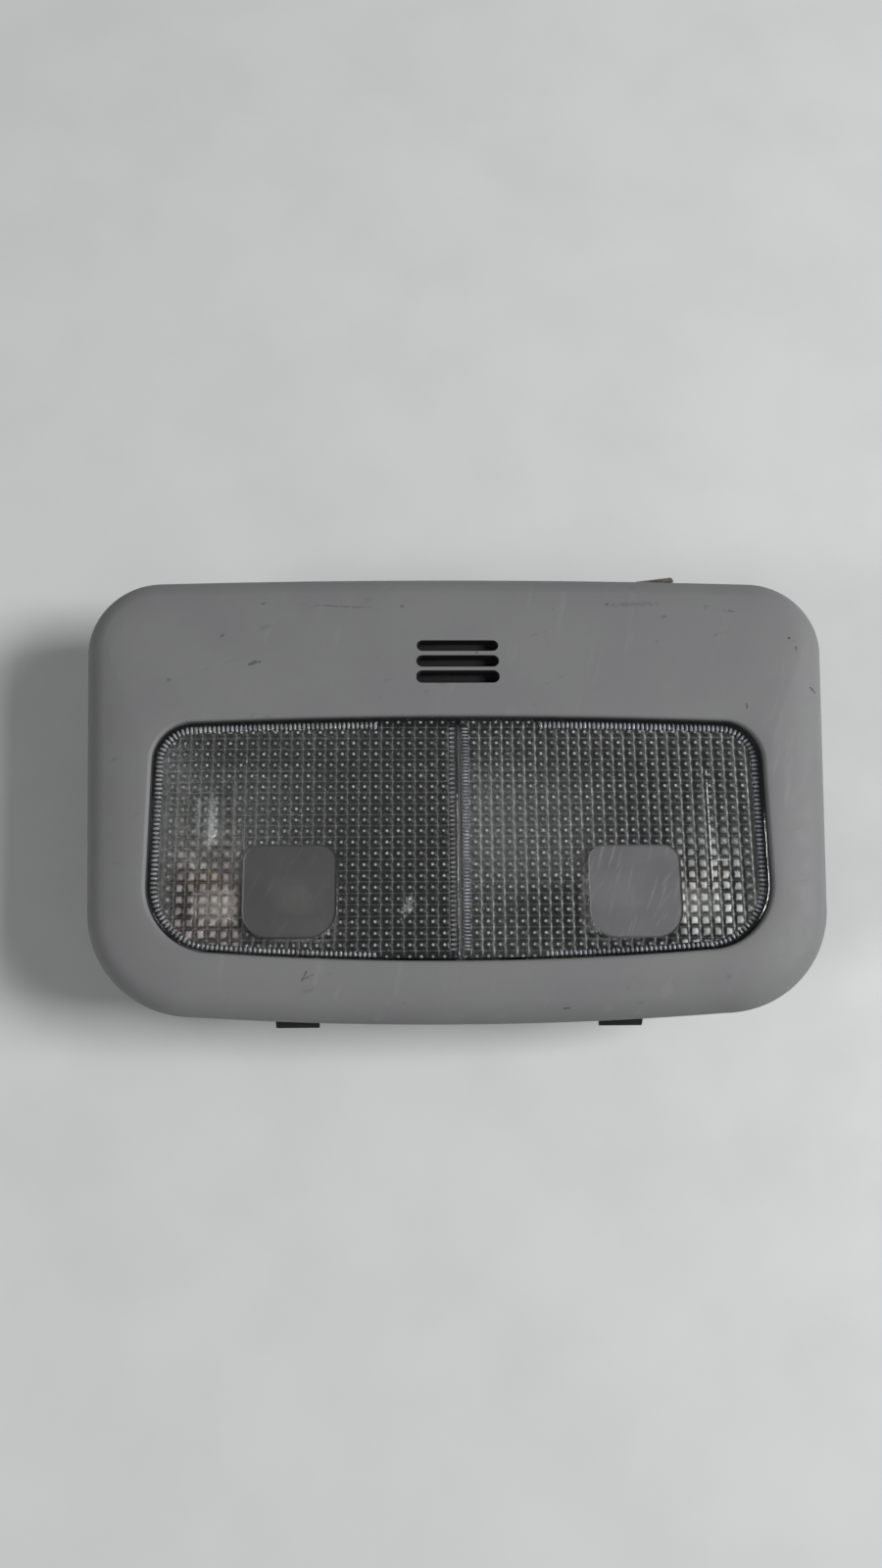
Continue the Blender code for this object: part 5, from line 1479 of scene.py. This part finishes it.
@dataclass
class PushLens:
    """A clear push lens with a prismatic back, a finger pad, a fluted border and hinge pins."""

    side: Side
    pad: Point
    gap: float = 0.4 * MM
    split: float = 0.2 * MM
    face: float = 37.00845 * MM
    plate: float = 2.0 * MM
    skirt: float = 6.0 * MM
    skirt_wall: float = 0.3 * MM
    skirt_taper: float = 0.2 * MM
    margin: float = 0.1 * MM
    edge: float = 0.45 * MM
    edge_steps: int = 5
    pitch: float = 2.5 * MM
    columns: int = 25
    rows: int = 20
    cell_steps: int = 8
    depth: float = 0.5 * MM
    ridge: float = 0.1 * MM
    inner_x: float = 2.25 * MM
    top_y: float = 25.95 * MM
    pad_side: float = 20.3 * MM
    pad_radii: tuple[float, float, float, float] = (3.6 * MM, 3.6 * MM, 6.0 * MM, 6.0 * MM)
    pad_recess: float = 0.35 * MM
    pad_flare: float = 0.5 * MM
    post_place: Point = (37.25 * MM, -11.55 * MM)
    post_top: float = 7.0 * MM
    post_tip: float = 4.6 * MM
    post_length: float = 9.4 * MM
    post_edge: float = 0.8 * MM
    post_steps: int = 4
    pin_radius: float = 1.2 * MM
    pin_drop: float = 4.0 * MM
    pin_steps: int = 24
    ear: Point = (5.4 * MM, 3.6 * MM)
    ear_past: float = 0.1 * MM
    ear_soft: float = 0.18 * MM
    flute_pitch: float = 1.0 * MM
    flute_half: float = 0.97 * MM
    flute_inset: float = 1.13 * MM
    low_flute_half: float = 0.7 * MM
    low_flute_inset: float = 0.8 * MM
    flute_width: float = 0.38 * MM
    flute_depth: float = 0.45 * MM
    flute_x: float = 18.2 * MM
    band: float = 2.1 * MM
    low_band: float = 1.5 * MM
    left_knurl: Point = (1.05 * MM, 0.36 * MM)
    right_knurl: Point = (0.75 * MM, 0.28 * MM)
    knurl_half: float = 0.9 * MM
    sharp: float = 26.0
    below_face: float = 0.05 * MM
    behind_plate: float = 0.02 * MM
    past_dimples: float = 0.2 * MM
    level_up: float = 0.6
    level_down: float = -0.1

    @cached_property
    def outline(self) -> Outline:
        """The lens's outer edge, as for both lenses together."""
        return WINDOW.grown(-self.gap)

    @cached_property
    def inside(self) -> Outline:
        """The room inside the skirt."""
        return self.outline.grown(-self.skirt_wall - self.margin)

    @cached_property
    def field(self) -> Outline:
        """The edge of the prisms, where they end at the flutes."""
        return replace(self.outline.grown(-self.band), bottom=self.outline.bottom + self.low_band)

    @property
    def plate_z(self) -> float:
        """The back of the lens plate."""
        return self.face - self.plate

    def ring(self, inset: float, z: float) -> Ring:
        """The right lens's outline, drawn in by a distance, at height z."""
        return raised(self.outline.grown(-inset).right_half(self.split + inset), z)

    def tray(self) -> Shape:
        """The lens plate with its skirt and its rounded edge.

        Returns:
            A closed shape.
        """
        foot_z = self.face - self.skirt
        rings = [
            self.ring(self.skirt_wall, self.plate_z),
            self.ring(self.skirt_wall + self.skirt_taper, foot_z),
            self.ring(self.skirt_taper, foot_z),
        ]
        for cosine, sine in arc(self.edge_steps):
            z = self.face - self.edge * (1 - sine)
            rings.append(self.ring(self.edge * (1 - cosine), z))
        return loft(rings)

    def field_ring(self, z: float) -> Ring:
        """The edge of the prisms: inside the flutes, and near the hinge as far as the skirt.

        Args:
            z: the ring's height.

        Returns:
            The ring.
        """
        ends = (self.inner_x, self.flute_x)
        points = [(x, self.inside.bottom_y(x)) for x in ends]
        points.extend(self.field.right_half(self.flute_x))
        points.extend((x, self.inside.top_y(x)) for x in reversed(ends))
        return raised(points, z)

    def dimples(self) -> Shape:
        """A cutter for the prismatic back, ended at the skirt.

        Returns:
            The cutter.
        """
        bm = taken(dimple_tree().run(
            "dimple_field", None, Pitch=self.pitch, Depth=self.depth, Columns=self.columns,
            Rows=self.rows, Steps=self.cell_steps, Pad=(*self.pad, 0.0), PadHalf=self.pad_side / 2,
            Corner=(self.inner_x, self.top_y, self.plate_z + self.ridge),
            UpperRadius=self.pad_radii[0], LowerRadius=self.pad_radii[2],
        ))
        rim = [edge for edge in bm.edges if edge.is_boundary]
        for made in bmesh.ops.extrude_edge_only(bm, edges=rim)["geom"]:
            if isinstance(made, bmesh.types.BMVert):
                made.co.z = self.plate_z - OVERLAP
        bmesh.ops.edgeloop_fill(bm, edges=[edge for edge in bm.edges if edge.is_boundary])
        cutter = new_object("dimple_cutter", bm)
        limit = loft([self.field_ring(self.plate_z + rise) for rise in (-MM, MM)])
        combine(cutter, limit, Join.KEEP)
        return taken(cutter)

    def flutes(self) -> Shape:
        """Cutters for the flutes along the border and the finer knurl beside the other lens.

        Returns:
            The cutters as one shape.
        """
        start = self.flute_x + self.flute_pitch / 2
        turn = self.outline.edge_steps + self.outline.corner_steps // 3
        upper = self.outline.grown(-self.flute_inset).right_half(start)[turn:]
        lower = self.outline.grown(-self.low_flute_inset).right_half(start)[:turn]
        x = self.split + self.skirt_wall + self.knurl_half
        spine = [(x, self.outline.bottom + self.band), (x, self.outline.top - self.band)]
        knurl_pitch, knurl_width = self.side.pick(self.left_knurl, self.right_knurl)
        rows = (
            (upper, self.flute_pitch, self.flute_half, self.flute_width),
            (lower, self.flute_pitch, self.low_flute_half, self.flute_width),
            (spine, knurl_pitch, self.knurl_half, knurl_width),
        )
        result = bmesh.new()
        for points, pitch, half, width in rows:
            size = (half, width, self.flute_depth)
            beads = flute_tree().run("flute_cutters", self.path(points), Pitch=pitch, Size=size)
            result.from_mesh(beads.data)
            bpy.data.objects.remove(beads, do_unlink=True)
        return result

    def path(self, points: Sequence[Point]) -> Shape:
        """A line of edges on the back of the plate.

        Args:
            points: the line's corners.

        Returns:
            The line.
        """
        bm = bmesh.new()
        verts = [bm.verts.new((x, y, self.plate_z)) for x, y in points]
        for first, second in zip(verts, verts[1:]):
            bm.edges.new((first, second))
        return bm

    def pad_cutter(self) -> Shape:
        """The shallow finger pad, with sloping sides.

        Returns:
            The cutter.
        """
        rings = []
        for wider in (-self.pad_recess, 0.0, self.pad_flare):
            radii = [radius + wider for radius in self.pad_radii]
            side = self.pad_side + 2 * wider
            rings.append(rounded_square(self.pad, side, radii, self.face + wider))
        return loft(rings)

    def post(self) -> Shape:
        """The tapered post under the pad that presses the switch.

        Returns:
            A closed shape.
        """
        low, high = self.plate_z - self.post_length, self.plate_z + OVERLAP
        radii = (self.post_edge,) * 4
        rings = []
        for side, z in ((self.post_tip, low), (self.post_top, high)):
            rings.append(rounded_square(self.post_place, side, radii, z, self.post_steps))
        return loft(rings)

    def hinge(self, upper: bool) -> tuple[Shape, Shape]:
        """One ear and its pin.

        Args:
            upper: whether they are at the lens's upper edge.

        Returns:
            The ear and the pin.
        """
        pin_z = self.face - self.pin_drop
        out = 1 if upper else -1
        edge = self.outline.top_y(PIN_X) if upper else self.outline.bottom_y(PIN_X)
        near = edge - out * self.skirt_wall / 2
        far = edge + out * (self.gap + self.ear_past)
        half_x, half_z = self.ear[0] / 2, self.ear[1] / 2
        low = (PIN_X - half_x, min(near, far), pin_z - half_z)
        high = (PIN_X + half_x, max(near, far), pin_z + half_z)
        length = self.skirt_wall / 2 + self.gap + FLANGE
        start = (PIN_X, min(near, near + out * length), pin_z)
        pin = bar(start, self.pin_radius, length, self.pin_steps, level=True)
        return box(low, high, self.ear_soft), pin

    def face_number(self, face: bpy.types.MeshPolygon) -> int:
        """A face's material number, from its place and the way it looks.

        Args:
            face: the face.

        Returns:
            The number of its finish.
        """
        x, y, z = abs(face.center.x), face.center.y, face.center.z
        kind = LensFace.SKIN
        on_pad = max(abs(x - self.pad[0]), abs(y - self.pad[1])) < self.pad_side / 2
        deepest = self.plate_z + self.depth + self.past_dimples
        at_back = self.plate_z - self.behind_plate < z < deepest
        if on_pad and face.normal.z > self.level_up and z < self.face - self.below_face:
            kind = LensFace.PAD
        elif at_back and face.normal.z < self.level_down:
            in_field = x > self.inner_x and (x < self.flute_x or self.field.holds(x, y))
            kind = LensFace.PRISM if in_field else LensFace.FLUTE
        # Side faces take the painted shade skin.
        elif z < self.face - self.edge:
            beside = x < self.split + self.skirt_wall + self.below_face
            if beside or not self.inside.holds(x, y):
                kind = LensFace.SIDE
        return kind.value

    def finishes(self) -> tuple[Finish, ...]:
        """The lens's finishes, in the order of their material numbers.

        Returns:
            The finishes.
        """
        word, pick = self.side.word, self.side.pick
        # The right lens gets stronger painted highlights and paler painted light from its holder, as the key
        # lamp stands on that side.
        prism = PrismFace(
            word + " prism face", self.pitch, self.inner_x, self.top_y, ridge_x=pick(0.16, 0.44),
            glow=pick(0.6, 0.95), glow_tone=pick((0.62, 0.55, 0.52), (0.62, 0.64, 0.64)),
        )
        # The right pad is painted lighter as glare from the light on that side; both pads are the same
        # etching.
        pad_tone_with_painted_glare = pick((0.067, 0.067, 0.068), (0.119, 0.118, 0.125))
        pad = FrostedPad(word + " finger pad", pad_tone_with_painted_glare, pick(0.03, 0.13))
        # Bluish painted reflection tone for the flute crests.
        painted_crest_tone = pick((0.64, 0.65, 0.71), (0.62, 0.65, 0.76))
        flute = FluteFace(word + " fluted border", self.plate_z, self.flute_depth, painted_crest_tone)
        return pick(LEFT_SKIN, RIGHT_SKIN), prism, pad, flute, PAINTED_SHADE_SKIN

    def turned(self, shape: Shape) -> Shape:
        """A right-hand shape on this lens's own side."""
        return flipped(shape) if self.side is Side.LEFT else shape

    def build(self) -> None:
        """Make the lens and install it."""
        word = self.side.word
        works = [(self.dimples(), Join.CUT), (self.flutes(), Join.CUT), (self.post(), Join.ADD)]
        works.extend((shape, Join.ADD) for upper in (True, False) for shape in self.hinge(upper))
        works.append((self.pad_cutter(), Join.CUT))
        item = new_object(word + "_push_lens_glass", self.turned(self.tray()))
        for shape, join in works:
            combine(item, self.turned(shape), join)
        close_up(item)
        smooth(item, self.sharp)
        number_faces(item, len(LensFace), self.face_number)
        settle(item)
        install(item, word + "_push_lens", "clear_lens", [word + "_lens"], *self.finishes())


@dataclass
class Bulb:
    """A wedge-base bulb: a glass shell, with its filament and lead wires inside."""

    side: Side
    x: float = 59.5 * MM
    z: float = 17.0 * MM
    tip_y: float = 18.0 * MM
    radius: float = 4.9 * MM
    glass: float = 20.5 * MM
    wedge: tuple[float, float, float] = (2.4 * MM, 6.5 * MM, 9.0 * MM)
    wall: float = 0.6 * MM
    steps: int = 28
    tip_steps: int = 10
    neck_steps: int = 8
    filament: float = 7.0 * MM
    coil_radius: float = 0.3 * MM
    coil_wire: float = 0.07 * MM
    coil_turns: float = 16.0
    lead_radius: float = 0.2 * MM
    lead_depth: float = 2.0 * MM
    lead_steps: int = 10

    @property
    def neck(self) -> float:
        """Where the glass ends and the wedge starts."""
        return self.tip_y - self.glass

    def ring(self, half_x: float, half_z: float, y: float) -> Ring:
        """An oval ring round the bulb's axis."""
        turns = arc(self.steps, 4 * QUARTER)[:-1]
        places = [(self.x + half_x * cosine, y, self.z + half_z * sine) for cosine, sine in turns]
        return [Vector(place) for place in places]

    def shell(self, inset: float) -> list[Ring]:
        """Rings of the glass from its tip to its neck.

        Args:
            inset: how far they are drawn in, for the hollow.

        Returns:
            The rings.
        """
        rings = []
        radius = self.radius - inset
        for cosine, sine in arc(self.tip_steps)[1:]:
            y = self.tip_y - inset - radius * (1 - cosine)
            rings.append(self.ring(radius * sine, radius * sine, y))
        half_x, half_z = self.wedge[0] / 2 - inset / 2, self.wedge[2] / 2 - inset
        for step in range(self.neck_steps + 1):
            share = step / self.neck_steps
            ease = share * share * (3 - 2 * share)
            wide, high = radius + (half_x - radius) * ease, radius + (half_z - radius) * ease
            rings.append(self.ring(wide, high, self.neck + self.radius * (1 - share) + inset))
        return rings

    def wires(self) -> Item:
        """The filament, with the two leads that carry it.

        Returns:
            An object with both in one mesh.
        """
        middle_y = self.tip_y - self.glass * 0.5
        coil = wire_tree().run(
            self.side.word + "_filament", None, Radius=self.coil_radius, Wire=self.coil_wire,
            Length=self.filament, Turns=self.coil_turns,
        )
        start = Matrix.Translation((self.x - self.filament / 2, middle_y, self.z))
        coil.data.transform(start @ Matrix.Rotation(QUARTER, 4, "Y"))
        bm = as_bmesh(coil.data)
        foot_y = self.neck - self.lead_depth
        for end in (-1, 1):
            foot = (self.x + end * self.filament / 2, foot_y, self.z)
            bar(foot, self.lead_radius, middle_y - foot_y, self.lead_steps, level=True, into=bm)
        fill(coil.data, bm)
        return coil

    def build(self) -> None:
        """Make the bulb and its wires, and install them."""
        base = self.ring(self.wedge[0] / 2, self.wedge[2] / 2, self.neck - self.wedge[1])
        glass = new_object(self.side.word + "_bulb_glass", loft([*self.shell(0.0), base]))
        combine(glass, loft(self.shell(self.wall)), Join.CUT)
        pieces = (
            (glass, "bulb_glass", [self.side.word + "_bulb"], BULB_SKIN),
            (self.wires(), "bright_steel", [], TUNGSTEN),
        )
        for item, slot, nodes, finish in pieces:
            if self.side is Side.LEFT:
                mirror(item)
            smooth(item)
            settle(item)
            install(item, "lamp", slot, nodes, finish)


@dataclass
class Fittings:
    """Pieces whose CAD shape is right, refined with soft edges and their own finish."""

    weld: float = 0.001 * MM
    flat: float = math.radians(1.0)
    sharp: float = 38.0
    coil_radius: float = 2.7 * MM
    coil_wire: float = 0.3 * MM
    coil_turns: float = 4.5
    thread: float = 0.7 * MM
    thread_rise: float = 0.05 * MM
    gauze: float = 0.2 * MM

    def refined(
        self, node: str, slot: str, finish: Finish, soft: float = 0.15, body: str = "lamp"
    ) -> None:
        """Replace a CAD node with a merged copy that has soft edges.

        Args:
            node: the CAD node.
            slot: the record's material slot.
            finish: the finish to dress it in.
            soft: width of its soft edges, in millimetres.
            body: the body it rides on.
        """
        item = linked(node + "_finished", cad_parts[node].data.copy())
        bm = as_bmesh(item.data)
        bmesh.ops.remove_doubles(bm, verts=bm.verts, dist=self.weld)
        bmesh.ops.dissolve_limit(bm, angle_limit=self.flat, verts=bm.verts, edges=bm.edges)
        fill(item.data, bm)
        layers = item.data.attributes
        if "custom_normal" in layers:
            layers.remove(layers["custom_normal"])
        bevel = item.modifiers.new("soft edges", "BEVEL")
        bevel.width = soft * MM
        bevel.segments = 2
        bevel.limit_method = "ANGLE"
        bevel.angle_limit = math.radians(self.sharp)
        bevel.use_clamp_overlap = True
        plain_mesh(item)
        smooth(item, self.sharp)
        install(item, body, slot, [node], finish)

    def build(self) -> None:
        """Dress every remaining CAD node."""
        self.refined("lamp_housing", "dark_housing", HOUSING_GREY, 0.25)
        self.refined("connector_socket", "black_moulding", BLACK)
        self.refined("microphone_holder", "black_moulding", BLACK)
        self.refined("microphone_capsule", "reflector_metal", SHEET)
        self.refined("microphone_boot", "soft_rubber", RUBBER)
        for side in Side:
            word = side.word
            self.refined(word + "_reflector", "reflector_metal", SHEET, 0.1)
            self.refined(word + "_bulb_holder", "ivory_moulding", IVORY, 0.3)
            self.refined(word + "_switch_base", "black_moulding", BLACK)
            self.refined(word + "_switch_case", "switch_moulding", SWITCH_GREY)
            self.refined(word + "_switch_plunger", "ivory_moulding", IVORY, body=word + "_plunger")
            self.refined(word + "_lamp_busbar", "brass_strip", BRASS, 0.1)
            self.refined(word + "_spring_clip", "bronze_steel", BRONZE, 0.1)
            self.refined(word + "_lower_claw", "black_moulding", BLACK, 0.2)
            self.spring(side)
        self.refined("supply_busbar", "brass_strip", BRASS, 0.1)
        self.refined("ground_busbar", "brass_strip", BRASS, 0.1)
        self.screen()

    def spring(self, side: Side) -> None:
        """Wind a switch's return spring, which shortens as its plunger goes in.

        Args:
            side: the switch's side.
        """
        node = side.word + "_switch_spring"
        low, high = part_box(node)
        coil = wire_tree().run(
            node + "_coil", None, Radius=self.coil_radius, Wire=self.coil_wire,
            Length=high.z - low.z - 2 * self.coil_wire, Turns=self.coil_turns,
        )
        middle = (low + high) / 2
        coil.data.transform(Matrix.Translation((middle.x, middle.y, low.z + self.coil_wire)))
        smooth(coil)
        coil.data.materials.clear()
        coil.data.materials.append(BRIGHT.material())
        step = Vector((0.0, 0.0, 2 * self.coil_wire))
        foot = Vector((middle.x, middle.y, low.z))
        top = Vector((middle.x, middle.y, high.z))
        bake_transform(coil, "lamp", side.word + "_plunger", foot + step, top - step)
        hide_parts(node)
        LOG.info("%s: %d faces between lamp and plunger", coil.name, len(coil.data.polygons))

    def screen(self) -> None:
        """Weave the dust screen, which is stretched over the microphone's holder."""
        node = "microphone_screen"
        low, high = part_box(node)
        size, middle = high - low, (low + high) / 2
        across, along = (round(2 * length / self.thread) for length in size.xy)
        bm = bmesh.new()
        bmesh.ops.create_grid(bm, x_segments=across, y_segments=along, size=0.5)
        for vert in bm.verts:
            x, y = vert.co.x * size.x, vert.co.y * size.y
            wave = math.cos(2 * math.pi * x / self.thread) * math.cos(2 * math.pi * y / self.thread)
            vert.co = middle + Vector((x, y, self.thread_rise * wave))
        bmesh.ops.solidify(bm, geom=list(bm.faces), thickness=self.gauze)
        item = new_object(node + "_gauze", bm)
        smooth(item)
        install(item, "lamp", "dark_gauze", [node], GAUZE)


@dataclass
class Screws:
    """The four screws that hold the housing to the bezel."""

    head_low: float = 18.9 * MM
    head_radius: float = 3.0 * MM
    head_height: float = 1.8 * MM
    head_flat: float = 0.62
    head_dome: float = 0.6
    head_steps: int = 6
    steps: int = 28
    shank: float = 1.2 * MM
    thread: float = 0.2 * MM
    thread_pitch: float = 0.9 * MM
    top_z: float = 31.0 * MM
    recess: tuple[float, float, float] = (3.4 * MM, 0.8 * MM, 1.0 * MM)

    def profile(self) -> list[Point]:
        """Radius and height along a screw, from its head to its tip.

        Returns:
            The pairs.
        """
        points = []
        for cosine, sine in arc(self.head_steps):
            radius = self.head_radius * (self.head_flat + (1 - self.head_flat) * sine)
            rise = self.head_height * self.head_dome * (1 - cosine)
            points.append((radius, self.head_low + rise))
        z = self.head_low + self.head_height
        points.append((self.head_radius, z))
        while z < self.top_z - 2 * self.shank:
            points.append((self.shank - self.thread, z))
            points.append((self.shank, z + self.thread_pitch / 2))
            z += self.thread_pitch
        return [*points, (self.shank - self.thread, z), (self.shank / 3, self.top_z)]

    def one(self) -> Shape:
        """One pan-head screw at x = y = 0, with a cross recess and threads.

        Returns:
            A closed shape.
        """
        rings = [round_ring(radius, z, self.steps) for radius, z in self.profile()]
        item = new_object("screw", loft(rings))
        length, width, depth = self.recess
        for half_x, half_y in ((length / 2, width / 2), (width / 2, length / 2)):
            low, high = self.head_low - MM, self.head_low + depth
            combine(item, box((-half_x, -half_y, low), (half_x, half_y, high)), Join.CUT)
        return taken(item)

    def build(self) -> None:
        """Make the four screws and install them."""
        upper_y, lower_y = SCREW_ROWS
        item = corners_tree().run(
            "housing_screws", self.one(), Width=2 * SCREW_X, Height=upper_y - lower_y,
            Centre=(0.0, (upper_y + lower_y) / 2, 0.0),
        )
        smooth(item)
        settle(item)
        nodes = [f"{side.word}_{level}_screw" for side in Side for level in ("upper", "lower")]
        install(item, "lamp", "bright_steel", nodes, BRIGHT)


@dataclass
class Stage:
    """The table, the lights and the camera."""

    table_half: float = 2.0
    key: tuple[float, float, float] = (1.33, 0.0, 1.18)
    key_size: float = 0.6
    key_power: float = 34.6
    fill: tuple[float, float, float] = (-1.25, -0.5, 0.95)
    fill_size: float = 0.45
    fill_power: float = 6.2
    aim: tuple[float, float, float] = (0.0, 0.0, 0.02)
    ambient: float = 0.165
    focal: float = 25.689
    sensor: float = 36.0
    near: float = 0.01
    eye: tuple[float, float, float] = (-9.57 * MM, -57.09 * MM, 278.27 * MM)
    right: tuple[float, float, float] = (0.9997, -0.0084, 0.021)
    up: tuple[float, float, float] = (0.0035, 0.9745, 0.2244)

    def build(self) -> None:
        """Make the table, the lights and the camera."""
        bm = bmesh.new()
        bmesh.ops.create_grid(bm, x_segments=1, y_segments=1, size=self.table_half)
        table = new_object("table", bm)
        table.data.materials.append(TABLE.material())
        self.lamp("key", self.key, self.key_size, self.key_power)
        self.lamp("fill", self.fill, self.fill_size, self.fill_power)
        world = bpy.data.worlds.new("room")
        world.use_nodes = True
        room = world.node_tree.nodes["Background"].inputs
        room["Color"].default_value = (1.0, 1.0, 1.0, 1.0)
        room["Strength"].default_value = self.ambient
        bpy.context.scene.world = world
        self.camera()
        bpy.context.scene.view_settings.view_transform = "Standard"

    def lamp(self, name: str, place: Sequence[float], size: float, power: float) -> None:
        """Add a square soft light that points at the part.

        Args:
            name: its name.
            place: where it stands.
            size: its width.
            power: its power in watts.
        """
        light = bpy.data.lights.new(name, "AREA")
        light.shape = "SQUARE"
        light.size = size
        light.energy = power
        made = linked(name, light)
        made.location = place
        made.rotation_euler = (Vector(self.aim) - Vector(place)).to_track_quat("-Z", "Y").to_euler()

    def camera(self) -> None:
        """Add the camera where the photograph was taken."""
        data = bpy.data.cameras.new("camera")
        data.lens = self.focal
        data.sensor_width = self.sensor
        data.clip_start = self.near
        made = linked("camera", data)
        right = Vector(self.right).normalized()
        back = right.cross(Vector(self.up)).normalized()
        turn = Matrix((right, back.cross(right), back)).transposed().to_4x4()
        made.matrix_world = Matrix.Translation(self.eye) @ turn
        bpy.context.scene.camera = made


def main() -> None:
    """Build every sub-assembly in order."""
    logging.basicConfig(level=logging.INFO, format="%(message)s")
    Stage().build()
    Bezel().build()
    for side in Side:
        PushLens(side, side.pick((37.0 * MM, -11.2 * MM), (38.15 * MM, -11.55 * MM))).build()
        Bulb(side).build()
    Screws().build()
    Fittings().build()


if __name__ == "__main__":
    main()
